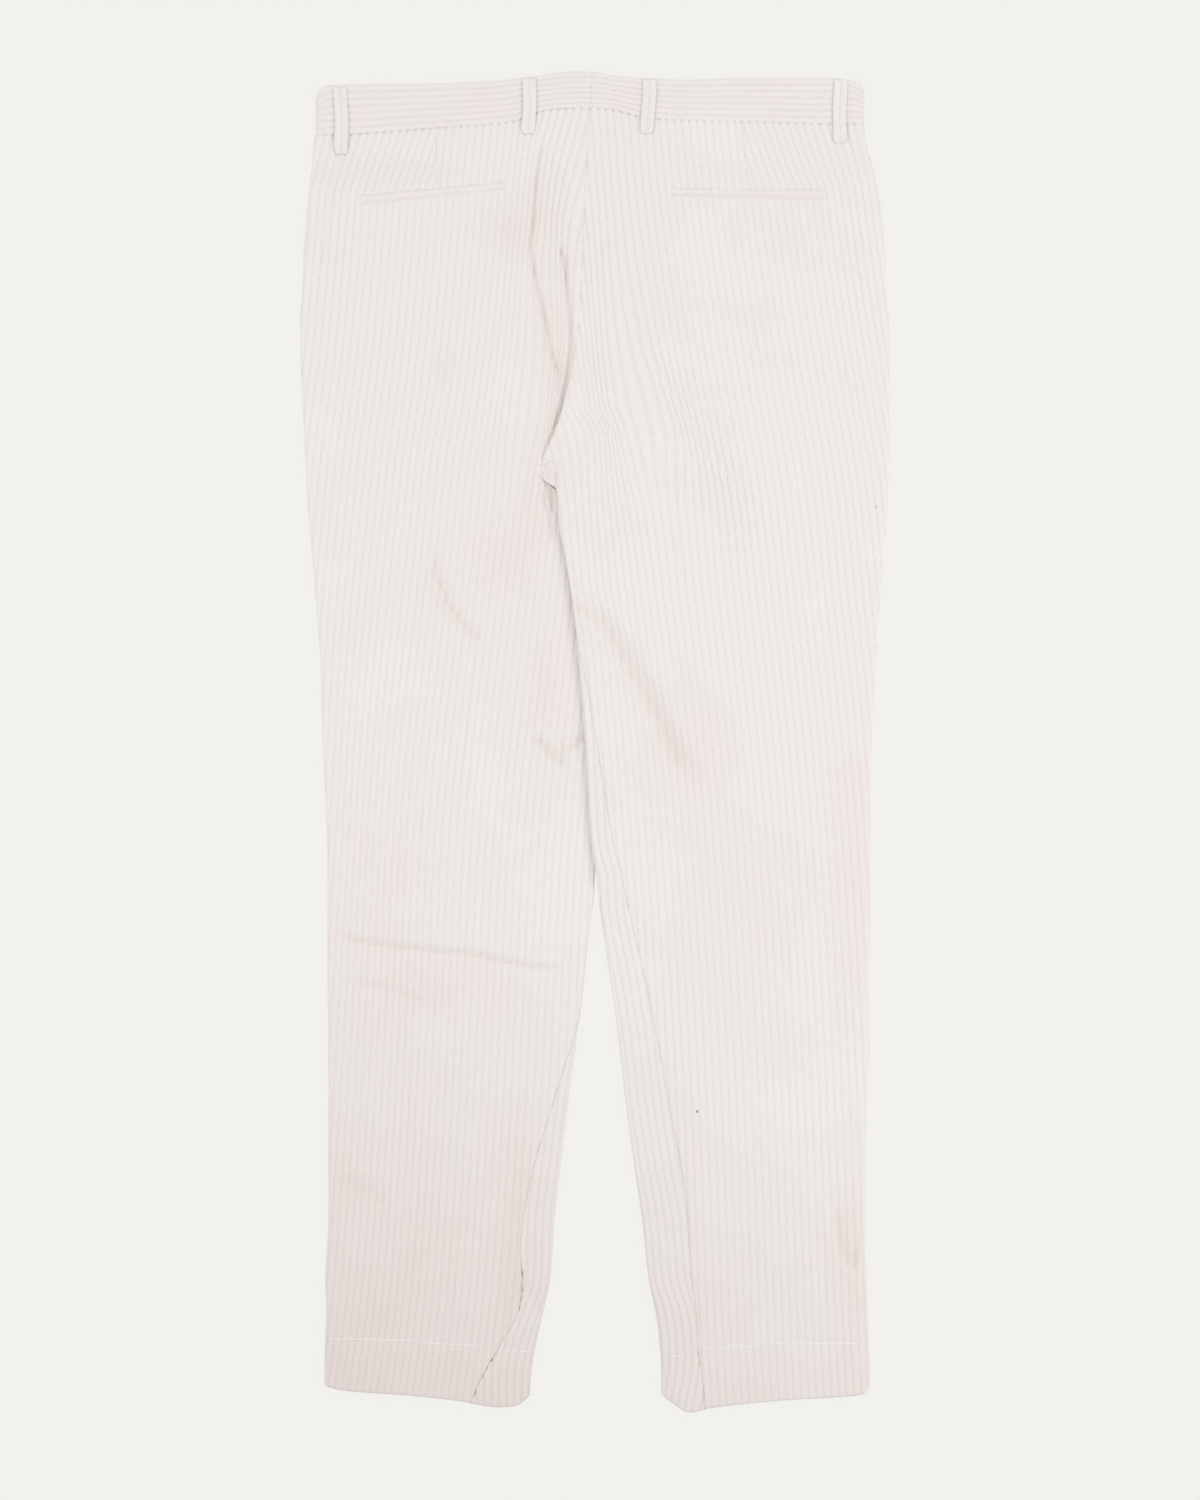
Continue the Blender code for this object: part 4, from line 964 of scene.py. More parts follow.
def row_levels(seat_step, leg_step):
    top = [WAIST_LEVEL - d for d in EDGE_LEVELS]
    hip = list(np.arange(WAIST_LEVEL - 6.0, POCKET_TOP, -seat_step))
    pocket = list(np.arange(POCKET_TOP, POCKET_LOW, -min(seat_step, 1.0)))
    seat = list(np.arange(POCKET_LOW, KINK_TOP, -seat_step * 0.8))
    kink = list(np.arange(KINK_TOP, KINK_LOW, -seat_step / 2.0))
    thigh = list(np.arange(KINK_LOW, KNEE_TOP + 90.0, -seat_step * 1.4))
    above_knee = list(np.arange(KNEE_TOP + 90.0, KNEE_TOP, -leg_step))
    knee = list(np.arange(KNEE_TOP, KNEE_LOW, -leg_step / 2.0))
    shin = list(np.arange(KNEE_LOW, HEM_LEVEL + 6.0, -leg_step))
    hem = [HEM_LEVEL + d for d in HEM_LEVELS]
    return np.array(top + hip + pocket + seat + kink + thigh + above_knee + knee + shin + hem)


def cord_shape(phase):
    """Height of a cord from 0 in the grooves to 1 along its top."""
    return (1.0 - np.abs(2.0 * phase - 1.0) ** 2.6) ** 0.75


# Where the cords stand prouder or are pressed flat: side, x, y, reach in x and y, share added.
RELIEF = (
    ("left", -26.0, 430.0, 26.0, 70.0, 0.9), ("left", -34.0, 350.0, 9.0, 34.0, -0.8),
    ("left", -200.0, 440.0, 26.0, 80.0, 0.25), ("left", -140.0, 468.0, 60.0, 22.0, 0.3),
    ("left", -90.0, 380.0, 40.0, 60.0, -0.2), ("left", -130.0, -430.0, 90.0, 120.0, 0.1),
    ("right", 10.0, 400.0, 34.0, 90.0, 0.7), ("right", 40.0, 290.0, 40.0, 50.0, 0.6),
    ("right", -16.0, 278.0, 8.0, 22.0, -0.7), ("right", 76.0, 350.0, 30.0, 50.0, -0.35),
    ("right", 140.0, 220.0, 50.0, 50.0, -0.25), ("right", 205.0, 400.0, 26.0, 110.0, 0.25),
    ("right", 100.0, 212.0, 24.0, 30.0, 0.9), ("right", 122.0, 182.0, 20.0, 24.0, 0.7),
    ("right", 10.0, 170.0, 40.0, 50.0, 0.4), ("right", 130.0, 60.0, 70.0, 60.0, -0.2),
    ("right", 64.0, -300.0, 20.0, 90.0, 0.4),
)


def wale_rise(side, x, y):
    """Height of the cords at each place: never quite even."""
    share = 1.0 + 0.15 * unevenness(x, y, 21.0, 11)
    for where, px, py, rx, ry, more in RELIEF:
        if where == side:
            share = share + more * np.exp(-(((x - px) / rx) ** 2) - ((y - py) / ry) ** 2)
    return WALE_RISE * share


# Rosy painted shade: side, x, y, reach in x and y, strength. Deep creases get the same painted shade.
ROSY_PAINTED_SHADE = (
    ("left", -38.0, 330.0, 13.0, 80.0, 0.6), ("left", -69.0, 410.0, 24.0, 22.0, 0.7),
    ("left", -121.0, 300.0, 20.0, 40.0, 0.35), ("left", -82.0, 138.0, 62.0, 60.0, 0.42),
    ("left", -34.0, 40.0, 28.0, 64.0, 0.5), ("left", -167.0, -90.0, 60.0, 60.0, 0.5),
    ("left", -116.0, -195.0, 90.0, 36.0, 0.4), ("left", -149.0, 455.0, 60.0, 9.0, 0.4),
    ("left", -60.0, -420.0, 16.0, 110.0, 0.7), ("left", -35.0, 200.0, 4.0, 12.0, 1.0),
    ("left", -50.0, 200.0, 12.0, 50.0, 0.5), ("right", 73.0, 2.0, 36.0, 50.0, 0.55),
    ("right", 121.0, -113.0, 44.0, 60.0, 0.4), ("right", 206.0, -100.0, 22.0, 120.0, 0.6),
    ("right", 121.0, 453.0, 50.0, 9.0, 0.35), ("right", 60.0, -430.0, 20.0, 100.0, 0.7),
    ("right", 206.0, -420.0, 16.0, 110.0, 0.5), ("right", 100.0, -230.0, 60.0, 50.0, 0.3),
    ("right", -37.0, 215.0, 6.0, 8.0, 0.8), ("left", -27.0, 290.0, 4.0, 34.0, 0.8),
    ("left", -36.0, 240.0, 4.0, 22.0, 1.0), ("left", -17.0, 130.0, 6.0, 40.0, 0.6),
    ("left", -5.0, 60.0, 6.0, 50.0, 0.6), ("left", 0.0, -30.0, 6.0, 70.0, 0.6),
    ("right", -29.0, 160.0, 4.0, 34.0, 0.7), ("right", -15.0, 80.0, 4.0, 44.0, 0.7),
    ("right", -7.0, -10.0, 4.0, 60.0, 0.7),
)


def painted_crease_shade(side, x, y):
    # painted shade: the deeper a crease, the rosier and darker its colour
    total = 0.9 * soft_step(1.0, 2.8, -crease_lift(BACK_CREASES[side], x, y))
    for where, px, py, rx, ry, much in ROSY_PAINTED_SHADE:
        if where == side:
            total = total + much * np.exp(-(((x - px) / rx) ** 2) - ((y - py) / ry) ** 2)
    return np.clip(total, 0.0, 1.0)


def seam_roll(away):
    """How far the pile goes down where cloth turns into a seam, and past it, under its neighbour."""
    return 0.55 * np.exp(-((np.maximum(away, 0.0) / 1.2) ** 2)) + 0.6 * np.maximum(-away, 0.0)


def hem_roll(up):
    """How far the outer face turns inward at the very edge of the hem."""
    inside = np.clip(2.0 - up, 0.0, 2.0)
    return 2.0 - np.sqrt(4.0 - inside**2)


def wale_keys(low, high, phases):
    whole = np.arange(low, high)
    return (whole[:, None] + np.array(phases)[None, :]).ravel()


def cloth_columns(side, keys, levels, leans, pulls, front):
    """The u and y of every column at every row, before the panel's edges are known."""
    first = int(keys[0])
    grooves = wale_walk(side, np.arange(first, int(keys[-1]) + 2), leans, pulls)
    below = np.floor(keys).astype(int) - first
    part = (keys - np.floor(keys))[:, None]
    walk = grooves[below] * (1.0 - part) + grooves[below + 1] * part
    y = np.repeat(levels[:, None], len(keys), axis=1)
    for _ in range(3):
        u = read_walk(walk, y)
        if not front:
            u = gather_to_dart(side, u, y)
        y = row_y(levels[:, None], laid_at(side, u, y, front), side, front)
    return u, y


# %% Building a panel from its range and its places
def panel(side, front):
    levels = row_levels(4.0, 6.6) if front else row_levels(3.0, 5.8)
    phases = FRONT_PHASES if front else BACK_PHASES
    keys = wale_keys(-46, 30, phases)
    reach = front_range if front else back_range
    point = front_point if front else back_point
    leans = FRONT_LEANS if front else LEANS
    v, y = cloth_columns(side, keys, levels, leans, () if front else PULLS, front)
    low, high = reach(side, y)
    inside = (v > low + 0.25) & (v < high - 0.25)
    v = np.clip(v, low, high)
    v = np.where(inside, v, np.where(v < (low + high) / 2.0, low, high))
    # every place past an edge is that edge's own place, so its y is made the edge's y
    for _ in range(2):
        y = np.where(inside, y, row_y(levels[:, None], laid_at(side, v, y, front), side, front))
        low, high = reach(side, y)
        v = np.where(inside, v, np.where(v < (low + high) / 2.0, low, high))

    def place(at_v, at_y):
        u, z = point(side, at_v, at_y)
        return np.stack([u, at_y, z], -1)

    apart = np.ones(v.shape)
    apart[:, 1:] = np.abs(np.diff(v, axis=1))
    new, outer = numbered_grid(apart, 0)
    phase = np.broadcast_to(keys % 1.0, v.shape)
    at_v, at_y, phase = v[new], y[new], phase[new]
    edge_low, edge_high, free = low[new], high[new], inside[new]
    here, normal = face_directions(place, at_v, at_y)
    if front:
        normal = -normal
    pile = np.where(free, cord_shape(phase), EDGE_PILE)
    x = TURN[side] * here[:, 0]
    rise = wale_rise(side, x, at_y) if not front else FRONT_RISE * WALE_RISE
    # flatter at the centre seam, and where the front's edge lies on the back's lap
    toward_inside = edge_high - at_v < at_v - edge_low
    inseam_roll = INSEAM_ROLL["front" if front else "back"]
    roll = np.where(toward_inside, np.where(at_y > CROTCH_Y, CENTRE_ROLL, inseam_roll), 1.0)
    lap = 0.0 if front else inseam_lap(side, at_y)
    from_seam = np.minimum(at_v - edge_low, edge_high - lap - at_v)
    depth = rise * (1.0 - pile) * soft_step(-0.2, 0.8, from_seam) + roll * seam_roll(from_seam)
    waist = front_waist(x) if front else WAIST_Y(x)
    below = np.maximum(waist - at_y, 0.0)
    beads = WAIST_DITCH * (1.6 - 1.2 * pile) * np.exp(-((below / 0.9) ** 2))
    depth = depth + 0.5 * seam_roll(below) + beads + hem_roll(at_y - HEM_Y(x))
    if not front:
        depth = depth + dart_ditch(side, at_v, at_y)
    skin = here - normal * depth[:, None]
    # painted shade in creases and beside shaded edges, on the back panels only
    patches_and_painted_shade = np.zeros(len(pile)) if front else painted_crease_shade(side, x, at_y)
    return skin, outer, pile, patches_and_painted_shade, place, levels, reach


# %% The inner face of a panel
INNER_COLUMNS = 30
INNER_ROWS_APART = 2
INNER_EDGE_GAP = 0.4
FRONT_LOWER_ON_TOP = 0.9
BACK_LINING_GAP = 0.4


def inner_face(side, front, place, levels, reach):
    """A coarse plain grid that keeps under the lowest place near by."""
    rows = np.concatenate((levels[:-1:INNER_ROWS_APART], levels[-1:]))
    share = np.linspace(0.0, 1.0, INNER_COLUMNS)[None, :]
    y = np.repeat(rows[:, None], INNER_COLUMNS, axis=1)
    for _ in range(3):
        low, high = reach(side, y)
        v = low + (high - low) * share
        v = np.clip(v, low + INNER_EDGE_GAP, high - INNER_EDGE_GAP)
        u = place(v, y)[..., 0]
        y = row_y(rows[:, None], u, side, front)
    here, normal = face_directions(place, v, y, 2.0)
    if front:
        wall = CLOTH + hem_layers(y) + FRONT_LOWER_ON_TOP * soft_step(3.5, 5.0, here[..., 2])
        found = here + normal * wall[..., None]
        return found.reshape(-1, 3)
    lowest = here[..., 2]
    for dv, dy in ((-3, 0), (3, 0), (0, 4), (0, -4), (3, 4), (-3, -4)):
        lowest = np.minimum(lowest, place(np.clip(v + dv, low, high), y + dy)[..., 2])
    flat = soft_step(0.0, 6.0, np.minimum(v - low, high - v))
    found = here - normal * (CLOTH + BACK_LINING_GAP + hem_layers(y))[..., None]
    found[..., 2] -= flat * np.minimum(here[..., 2] - lowest, 2.0)
    return found.reshape(-1, 3)


def make_panel(name, side, front):
    skin, outer, pile, patches_and_painted_shade, place, levels, reach = panel(side, front)
    lining = inner_face(side, front, place, levels, reach)
    inner = np.arange(len(lining)).reshape(-1, INNER_COLUMNS) + len(skin)
    points = np.concatenate([skin, lining])
    faces = closed_shell(outer, inner, points)
    points[:, 0] *= TURN[side]
    pile = np.concatenate([pile, np.full(len(lining), 0.5)])
    patches_and_painted_shade = np.concatenate([patches_and_painted_shade, np.zeros(len(lining))])
    return cloth_object(name, points, faces, pile, CORDUROY, patches_and_painted_shade)


BACKS = {side: make_panel("back_cloth_" + side, side, False) for side in TURN}

# %% [markdown]
# ## The front panels
# The fronts lie face down. They are made the same way with fewer columns, because only the
# strips that come round the inner folds show from above. The left front runs on under the right
# one as the fly.

# %% Both fronts
FRONTS = {side: make_panel("front_cloth_" + side, side, True) for side in TURN}

# %% [markdown]
# ## The waistband
# The waistband is one strip in two halves that meet at the centre back. Its wales run round the
# body, so here they lie across the panels' wales. Its top edge is a fold, and at each side the
# strip turns round the fold of the trousers and runs on across the front. The left half runs a
# little past the middle of the front, where the trousers fasten. The fastener isn't modelled.

# %% The path of a band half
BAND_WALES = 7
BAND_PHASES = (0.0, 0.07, 0.18, 0.34, 0.52, 0.7, 0.84, 0.94)
BAND_CLOTH = 1.9
BAND_START_X = -3.6
BAND_CORNER = 10.0
BAND_TALL = 35.0
BAND_FOLD = 0.9
FRONT_BAND_TALL = 33.5
BAND_STOP = {"left": 26.0, "right": 3.0}


def band_lengths(side):
    """The outer edge, the fold's radius, the start and the length of the back of a band half."""
    edge = float(outer_edge(side, 500.0))
    radius = (BAND_SIDE_TOP - BAND_LIFT) / 2.0
    start = BAND_START_X * TURN[side] - SEAM_GAP / 2.0
    return edge, radius, start, start - edge - radius


def band_place(side, q, share):
    """A place on the band: q runs from the centre back round to the front, share goes up it."""
    edge, radius, start, back = band_lengths(side)
    bend = math.pi * radius
    turned = np.clip(q - back, 0.0, bend)
    angle = math.pi / 2.0 - turned / radius
    u = np.where(q < back, start - q, edge + radius * (1.0 - np.cos(angle)))
    u = np.where(q > back + bend, edge + radius + q - back - bend, u)
    x = TURN[side] * u
    to_front = soft_step(0.0, bend, turned)
    low = WAIST_Y(x) * (1.0 - to_front) + front_waist(x) * to_front + 0.25
    high = BAND_TOP_Y(x) * (1.0 - to_front) + (low + FRONT_BAND_TALL) * to_front
    past = np.clip(1.0 - (u - edge) / BAND_CORNER, 0.0, 1.0)
    high = high - BAND_CORNER * (1.0 - np.sqrt(1.0 - past**2)) * 0.85
    y = low + (high - low) * share
    middle = BAND_LIFT + radius
    on_back = band_height(x) + 0.25 * unevenness(x, y, 34.0, 21) * soft_step(0.0, 8.0, back - q)
    on_front = BAND_LIFT + 2.7 * soft_step(60.0, 41.0, x) * (side == "right")
    z = np.where(q < back, on_back, middle + radius * np.sin(angle))
    z = np.where(q > back + bend, on_front, z)
    return places(u, y, z)


def shell_from(name, place, a, b, depth, pile, wall, inner_a, inner_b, turn, material):
    """A closed shell of a strip whose place is a function of two lengths."""
    ga, gb = np.meshgrid(a, b, indexing="ij")
    here, normal = strip_directions(place, ga, gb)
    skin = (here + normal * -depth(ga, gb)[..., None]).reshape(-1, 3)
    ia, ib = np.meshgrid(inner_a, inner_b, indexing="ij")
    at, inward = strip_directions(place, ia, ib)
    lining = (at - inward * wall).reshape(-1, 3)
    outer = np.arange(ga.size).reshape(ga.shape)
    inner = np.arange(ia.size).reshape(ia.shape) + ga.size
    points = np.concatenate([skin, lining])
    faces = closed_shell(outer, inner, points)
    points[:, 0] *= turn
    values = np.concatenate([pile(ga, gb).ravel(), np.full(ia.size, 0.5)])
    return cloth_object(name, points, faces, values, material)


def strip_directions(place, a, b):
    here = place(a, b)
    normal = np.cross(place(a, b + 0.004) - here, place(a + 0.2, b) - here)
    return here, normal / np.maximum(np.linalg.norm(normal, axis=-1, keepdims=True), 1e-9)


# %% Both halves of the waistband
def make_band(side):
    _, radius, _, back = band_lengths(side)
    bend = math.pi * radius
    front = BAND_STOP[side] - band_lengths(side)[0] - radius
    near_centre = (0.0, 0.4, 0.9, 1.6, 2.6)
    across_back = np.arange(4.2, back - 1.0, 2.6)
    round_side = np.linspace(back, back + bend, 9)
    across_front = np.linspace(back + bend, back + bend + front, 36)[1:]
    q = np.concatenate((near_centre, across_back, round_side, across_front))
    wales = (np.arange(BAND_WALES)[:, None] + np.array(BAND_PHASES)[None, :]).ravel()
    share = np.concatenate((wales, [BAND_WALES - 0.02, BAND_WALES])) / BAND_WALES
    shares = np.array((0.0, 0.35, 0.65, 1.0))
    inner_q = np.concatenate((np.linspace(0.0, back, 40), round_side[2:-1:2],
                              across_front[::3], across_front[-1:]))

    def depth(at, up):
        phase = up * BAND_WALES
        into_fold = np.clip(BAND_FOLD - (1.0 - up) * BAND_TALL, 0.0, BAND_FOLD)
        turned = BAND_FOLD - np.sqrt(np.maximum(BAND_FOLD**2 - into_fold**2, 0.0))
        seams = 0.6 * seam_roll(up * BAND_TALL) + 0.7 * np.exp(-(at**2))
        rise = 0.6 * (1.0 + 0.2 * unevenness(at, up * 200.0, 26.0, 31))
        return rise * (1.0 - cord_shape(phase % 1.0)) * (up < 0.99) + turned + seams

    def pile(at, up):
        return np.where(up > 0.985, 0.7, cord_shape((up * BAND_WALES) % 1.0))

    def place(at, up):
        return band_place(side, at, up)

    return shell_from("waistband_cloth_" + side, place, q, share, depth, pile, BAND_CLOTH,
                      inner_q, shares, TURN[side], CORDUROY_ACROSS)


BANDS = {side: make_band(side) for side in TURN}

# %% [markdown]
# ## Belt loops
# A belt loop is a narrow strip with two wales, its long edges turned under. Its ends are folded
# in and tacked down over the waistband, so it stands up a little in the middle, far enough for
# a belt when the trousers are worn.

# %% Loops of the back
LOOP_WIDTH = 11.0
LOOP_CLOTH = 1.15
# Name, x at the top, x at the bottom, y at the top, y at the bottom.
BACK_LOOPS = (
    ("belt_loop_side_left", -203.2, -202.4, 523.4, 470.0),
    ("belt_loop_back_left", -52.0, -53.2, 530.2, 486.4),
    ("belt_loop_back_right", 43.6, 41.6, 529.4, 486.4),
    ("belt_loop_side_right", 196.0, 195.2, 529.6, 479.0),
)
LOOP_SHARES = (0.0, 0.03, 0.07, 0.13, 0.22, 0.33, 0.42, 0.47, 0.5,
               0.53, 0.58, 0.67, 0.78, 0.87, 0.93, 0.97, 1.0)
LOOP_ENDS = (0.0, 0.4, 1.0, 1.8, 2.8, 4.2)


def make_loop(name, x_top, x_low, y_top, y_low):
    length = y_top - y_low
    ends = np.array(LOOP_ENDS)
    along = np.concatenate((ends, np.arange(6.0, length - 5.0, 2.0), length - ends[::-1]))

    def place(at, up):
        share = at / length
        x = x_top + (x_low - x_top) * share
        near = np.maximum(band_height(x - 6.4), band_height(x + 6.4))
        arch = 0.35 * soft_step(0.04, 0.3, share) * soft_step(1.0, 0.62, share)
        y = y_top - at
        tip = np.clip(1.0 - (length - at) / 5.0, 0.0, 1.0)
        wide = LOOP_WIDTH * (1.0 - 0.3 * tip**2)
        sway = 0.35 * np.sin(at / 7.0 + x_top)
        return places(x + sway - (up - 0.5) * wide, y, near + arch + LOOP_CLOTH)

    def rolled(away, radius):
        return radius - np.sqrt(np.maximum(radius**2 - np.clip(radius - away, 0.0, radius) ** 2, 0.0))

    def depth(at, up):
        sides = rolled(np.minimum(up, 1.0 - up) * LOOP_WIDTH, 1.0)
        tips = rolled(np.minimum(at, length - at), 1.1)
        between = 0.6 * (1.0 - cord_shape((up * 2.0) % 1.0)) * (np.abs(up - 0.5) < 0.3)
        tack = 0.45 * np.exp(-(((length - at - 3.0) / 0.8) ** 2))
        tack = tack + 1.0 * np.exp(-(((length - at) / 1.3) ** 2) - (((up - 0.5) / 0.12) ** 2))
        return np.minimum(sides + tips + between + tack, LOOP_CLOTH - 0.25)

    def pile(at, up):
        return np.where(np.abs(up - 0.5) < 0.25, cord_shape((up * 2.0) % 1.0), 0.9)

    inner_along = np.linspace(0.6, length - 0.6, 12)
    return shell_from(name + "_cloth", place, along, np.array(LOOP_SHARES), depth, pile, LOOP_CLOTH,
                      inner_along, np.array((0.04, 0.5, 0.96)), 1.0, CORDUROY)


LOOPS = {row[0]: make_loop(*row) for row in BACK_LOOPS}

# %% [markdown]
# ## Pocket welts
# Behind each hip is a welt pocket: a slit whose lower lip is a narrow folded strip. The strip's
# wales run along it, and it lies almost flush with the panel. Its lower seam bites into every
# wale it crosses, which gives the seam its notched look.

# %% Welts
WELT_CLOTH = 1.2
WELT_PROUD = 0.5
WELT_TALL = 8.0


def make_welt(side):
    name, x0, low0, high0, x1, low1, high1 = WELTS[side]
    length = x1 - x0
    along = np.concatenate(((0.0, 0.3, 0.8, 1.5), np.arange(2.4, length - 2.0, 1.5),
                            (length - 1.5, length - 0.8, length - 0.3, length)))

    def place(at, up):
        share = 1.0 - at / length
        x = x1 - at
        low = low0 + (low1 - low0) * share
        high = high0 + (high1 - high0) * share
        y = low + (high - low) * up
        z = back_top(side, TURN[side] * x, y) + pocket_mouth(side, x, y) + WELT_PROUD
        return places(x, y, z)

    def depth(at, up):
        edges = np.minimum(up, 1.0 - up) * WELT_TALL
        rolled = (WELT_PROUD + 0.3) * np.exp(-((edges / 0.7) ** 2))
        ends = (WELT_PROUD + 0.25) * np.exp(-((np.minimum(at, length - at) / 0.8) ** 2))
        beads = 0.7 * np.exp(-((up * WELT_TALL / 1.5) ** 2)) * (1.0 - cord_shape((at / WALE_PITCH) % 1.0))
        groove = 0.3 * np.exp(-(((up - 0.52) * WELT_TALL / 0.7) ** 2)) + 0.2 * soft_step(0.56, 0.46, up)
        return np.minimum(np.maximum(rolled, ends) + beads + groove, WELT_CLOTH - 0.3)

    # painted shade: the lower part, sunk below the welt's middle groove, takes the darker groove colour
    def pile(at, up):
        return 0.95 - 0.85 * soft_step(0.56, 0.46, up)

    up = np.array((0.0, 0.04, 0.1, 0.18, 0.28, 0.38, 0.45, 0.52, 0.59, 0.66, 0.76, 0.86, 0.93, 0.97, 1.0))
    return shell_from(name + "_cloth", place, along, up, depth, pile, WELT_CLOTH,
                      np.linspace(0.3, length - 0.3, 30), np.array((0.03, 0.5, 0.97)), 1.0, CORDUROY_ACROSS)


WELT_PIECES = {side: make_welt(side) for side in TURN}

# %% [markdown]
# ## Loops of the front
# Two more loops are under the front of the band, flat against the floor.

# %% Front loops
FRONT_LOOP_X = 112.0
FRONT_LOOP_ABOVE_SEAM = 32.5
FRONT_LOOP_CLOTH = 1.1
FRONT_LOOP_LENGTH = 48.5


def make_front_loop(side):
    middle = FRONT_LOOP_X * -TURN[side]
    length = FRONT_LOOP_LENGTH

    def place(at, up):
        y = front_waist(middle) + FRONT_LOOP_ABOVE_SEAM - at
        return places(middle + (up - 0.5) * LOOP_WIDTH, y, 0.0)

    def depth(at, up):
        sides = 0.5 * np.exp(-((np.minimum(up, 1.0 - up) * LOOP_WIDTH / 0.6) ** 2))
        return sides + 0.4 * (1.0 - cord_shape((up * 2.0) % 1.0)) * (np.abs(up - 0.5) < 0.3)

    def pile(at, up):
        return cord_shape((up * 2.0) % 1.0)

    return shell_from(f"belt_loop_front_{side}_cloth", place, np.linspace(0.0, length, 18),
                      np.array(LOOP_SHARES), depth, pile, FRONT_LOOP_CLOTH,
                      np.linspace(0.0, length, 4), np.array((0.0, 0.5, 1.0)), 1.0, CORDUROY)


FRONT_LOOPS = {side: make_front_loop(side) for side in TURN}

# %% [markdown]
# ## Hem stitches
# The turned hems are held by a blind stitch, of which long pale floats show here and there. Each
# float is a fine tube of thread that is swept along the cloth and half sunk in its pile. A curve
# with a bevel would give the same tube.

# %% Floats of thread
THREAD_RADIUS = 0.32
# Side, then x and y of both ends of a float.
FLOATS = (
    ("left", -213.0, -476.2, -143.0, -477.8), ("left", -137.0, -479.6, -93.0, -482.0),
    ("left", -72.0, -485.4, -53.0, -486.6), ("right", 60.0, -490.0, 73.0, -491.0),
    ("right", 87.0, -484.6, 134.0, -481.8), ("right", 138.0, -479.6, 216.0, -480.4),
)


def thread_float(side, x0, y0, x1, y1, first):
    """Places and faces of one float, as a six-sided tube with closed ends."""
    count = max(4, int((x1 - x0) / 1.5))
    share = np.linspace(0.0, 1.0, count)
    x = x0 + (x1 - x0) * share
    y = y0 + (y1 - y0) * share + 0.25 * np.sin(x * 0.9)
    z = back_top(side, TURN[side] * x, y) - 0.1 + 0.2 * np.sin(x * 2.0 * math.pi / WALE_PITCH)
    turn = np.arange(6) * math.pi / 3.0
    width = THREAD_RADIUS * np.where((share > 0.0) & (share < 1.0), 1.0, 0.2)[:, None]
    ring = places(x[:, None], y[:, None] + width * np.cos(turn), z[:, None] + width * np.sin(turn))
    number = first + np.arange(count * 6).reshape(count, 6)
    after = np.roll(number, -1, axis=1)
    a, b, c, d = number[:-1], after[:-1], after[1:], number[1:]
    faces = [np.stack([a, b, c], -1).reshape(-1, 3), np.stack([a, c, d], -1).reshape(-1, 3)]
    for end, way in ((number[0], 1), (number[-1], -1)):
        fan = np.array([(end[0], end[k + 1], end[k]) for k in range(1, 5)])
        faces.append(fan if way == 1 else fan[:, ::-1])
    return ring.reshape(-1, 3), np.concatenate(faces)


def thread_finish():
    material = bpy.data.materials.new("pale_thread")
    material.use_nodes = True
    shader = material.node_tree.nodes["Principled BSDF"]
    shader.inputs["Base Color"].default_value = (0.95, 0.935, 0.91, 1.0)
    shader.inputs["Roughness"].default_value = 0.6
    return material


def make_stitches(side):
    floats = []
    faces = []
    count = 0
    for row in FLOATS:
        if row[0] != side:
            continue
        found, made = thread_float(*row, count)
        floats.append(found)
        faces.append(made)
        count += len(found)
    points = np.concatenate(floats)
    return cloth_object("hem_thread_" + side, points, np.concatenate(faces),
                        np.ones(len(points)), PALE_THREAD)


PALE_THREAD = thread_finish()
STITCHES = {side: make_stitches(side) for side in TURN}

# %% [markdown]
# ## Floor, light and camera
# The trousers lie on a plain pale floor. Two broad soft lights stand on either side, the right
# one a little stronger, and a bright even surround fills the shadows, so that only the grooves
# and creases darken. The camera looks straight down.

# %% Floor
def make_floor():
    material = bpy.data.materials.new("pale_floor")
    material.use_nodes = True
    shader = material.node_tree.nodes["Principled BSDF"]
    shader.inputs["Base Color"].default_value = (0.04, 0.04, 0.038, 1.0)
    shader.inputs["Roughness"].default_value = 1.0
    shader.inputs["Specular IOR Level"].default_value = 0.0
    shader.inputs["Emission Color"].default_value = (1.0, 0.991, 0.955, 1.0)
    shader.inputs["Emission Strength"].default_value = 0.849
    bpy.ops.mesh.primitive_plane_add(size=12.0, location=(0.0, 0.0, -0.0002))
    floor = bpy.context.object
    floor.name = "floor"
    floor.data.materials.append(material)
    return floor


make_floor()


# %% [markdown]
# A wide light gives soft shadows. The two side lights hang low, so they graze the wales, and the
# third one lifts the waist. The surround's strength sets how pale the grooves stay.

# %% Lights and surround
SOFTBOX_SIDE = 1.0


def soft_light(name, x, y, z, power):
    data = bpy.data.lights.new(name, "AREA")
    data.shape = "SQUARE"
    data.size = SOFTBOX_SIDE
    data.energy = power
    light = bpy.data.objects.new(name, data)
    light.location = (x, y, z)
    light.rotation_euler = (-light.location).to_track_quat("-Z", "Y").to_euler()
    bpy.context.scene.collection.objects.link(light)


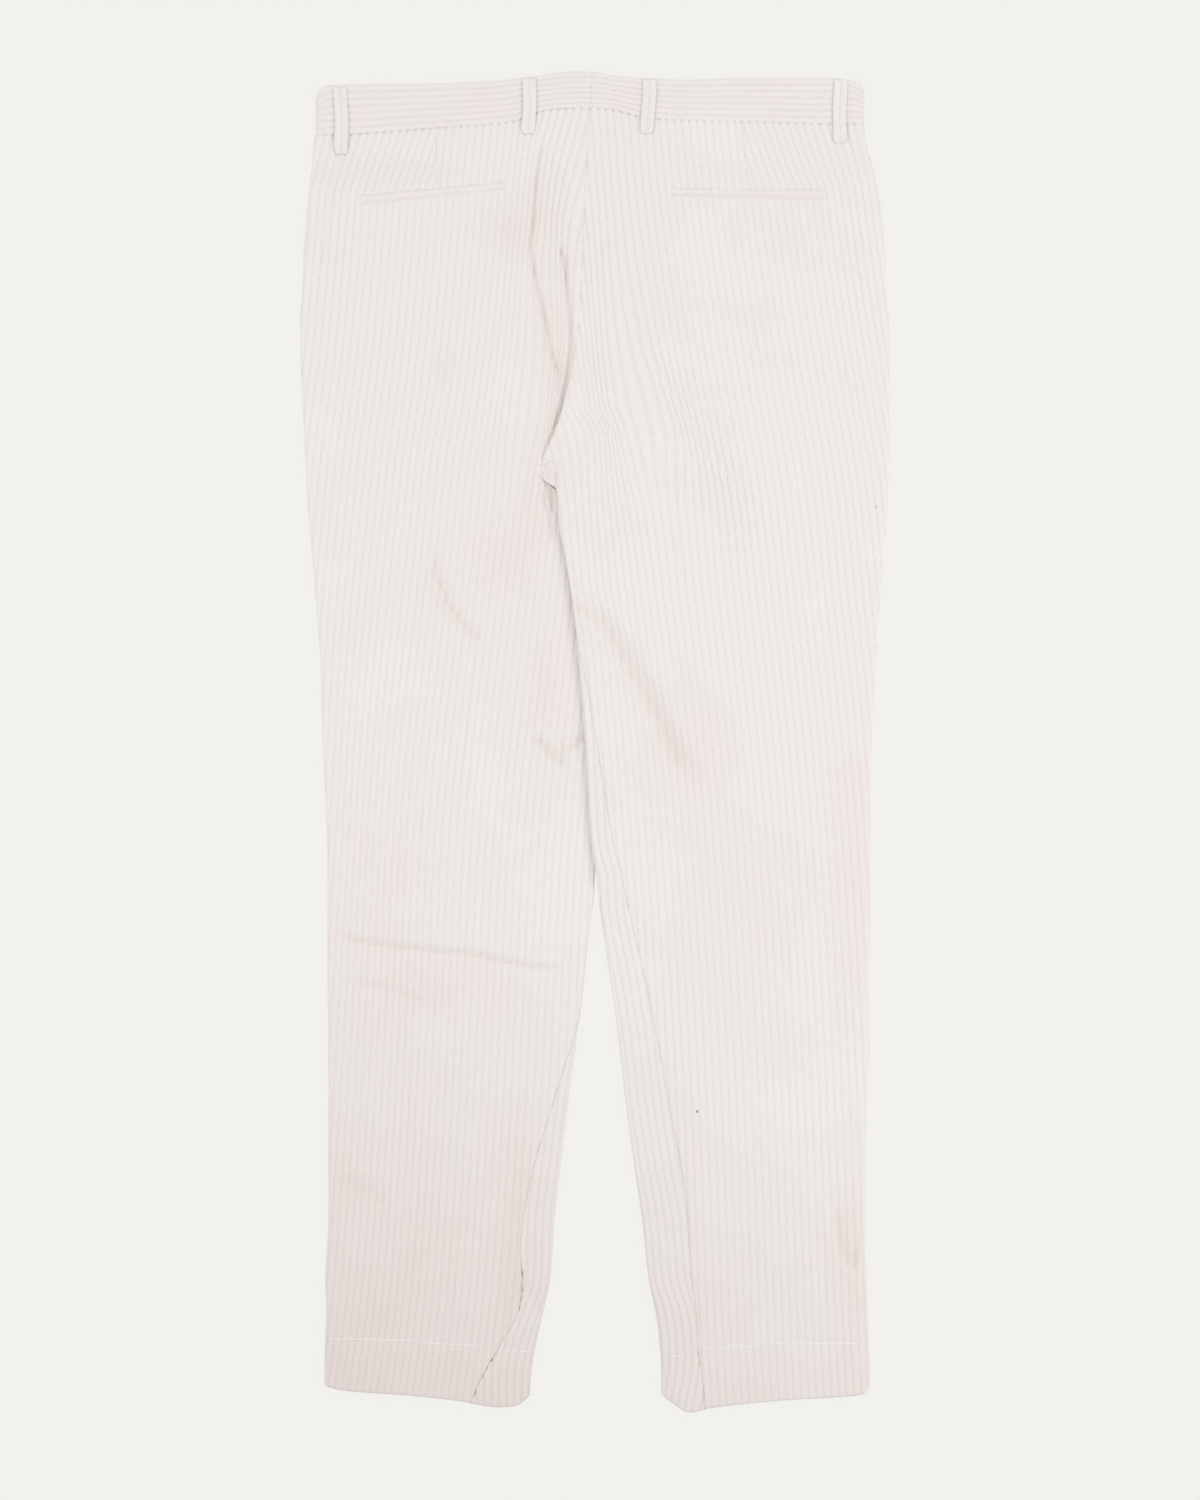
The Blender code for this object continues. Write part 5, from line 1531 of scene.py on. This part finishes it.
soft_light("right_softbox", 1.5, -0.2, 1.25, 10.6)
soft_light("left_softbox", -1.5, -0.2, 1.25, 7.9)
soft_light("top_softbox", 0.1, 1.9, 1.2, 4.3)
world = bpy.data.worlds.new("bright_surround")
world.use_nodes = True
world.node_tree.nodes["Background"].inputs["Color"].default_value = (1.0, 0.995, 0.98, 1.0)
world.node_tree.nodes["Background"].inputs["Strength"].default_value = 0.66
bpy.context.scene.world = world
bpy.context.scene.view_settings.view_transform = "Standard"


# %% [markdown]
# A long lens from four metres up draws the trousers almost without perspective.

# %% Camera
def make_camera():
    data = bpy.data.cameras.new("above")
    data.lens = 120.0
    data.sensor_width = 36.0
    camera = bpy.data.objects.new("above", data)
    camera.location = (0.004, -0.006, 4.0)
    bpy.context.scene.collection.objects.link(camera)
    bpy.context.scene.camera = camera


make_camera()

# %% [markdown]
# ## Which piece stands for which solid
# Every piece rides the one body and hides the solid it stands for. The flat size of each panel,
# seam to seam, is worked out and printed. A pattern cutter would unroll the panel, so its widths
# are measured along the cloth and not across it.

# %% Flat size of a panel
def cut_of(side, front):
    """Greatest width, length and area of a panel's cloth, in metres."""
    top = float(front_waist(0.0) if front else WAIST_LEVEL)
    y = np.arange(HEM_LEVEL, top, 2.0)
    low, high = (front_range if front else back_range)(side, y)
    width = (high - low) * MM
    length = (top - HEM_LEVEL) * MM
    area = float(width.mean() * length)
    print(f"{side} {'front' if front else 'back'}: {width.max():.3f} x {length:.3f} m, {area:.4f} m2")
    return (float(width.max()), length), area


# %% Hand the pieces over
def stand_for(thing, node):
    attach(thing, "root")
    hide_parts(node)


for side in TURN:
    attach(STITCHES[side], "root")
    flat, area = cut_of(side, True)
    stand_for(FRONTS[side], "front_panel_" + side)
    flat, area = cut_of(side, False)
    stand_for(BACKS[side], "back_panel_" + side)
    edge, radius, _, back = band_lengths(side)
    stand_for(BANDS[side], "waistband_" + side)
    stand_for(WELT_PIECES[side], "back_pocket_welt_" + side)
    stand_for(FRONT_LOOPS[side], "belt_loop_front_" + side)
for name, _, _, y_top, y_low in BACK_LOOPS:
    side = "left" if name.endswith("left") else "right"
    stand_for(LOOPS[name], name)
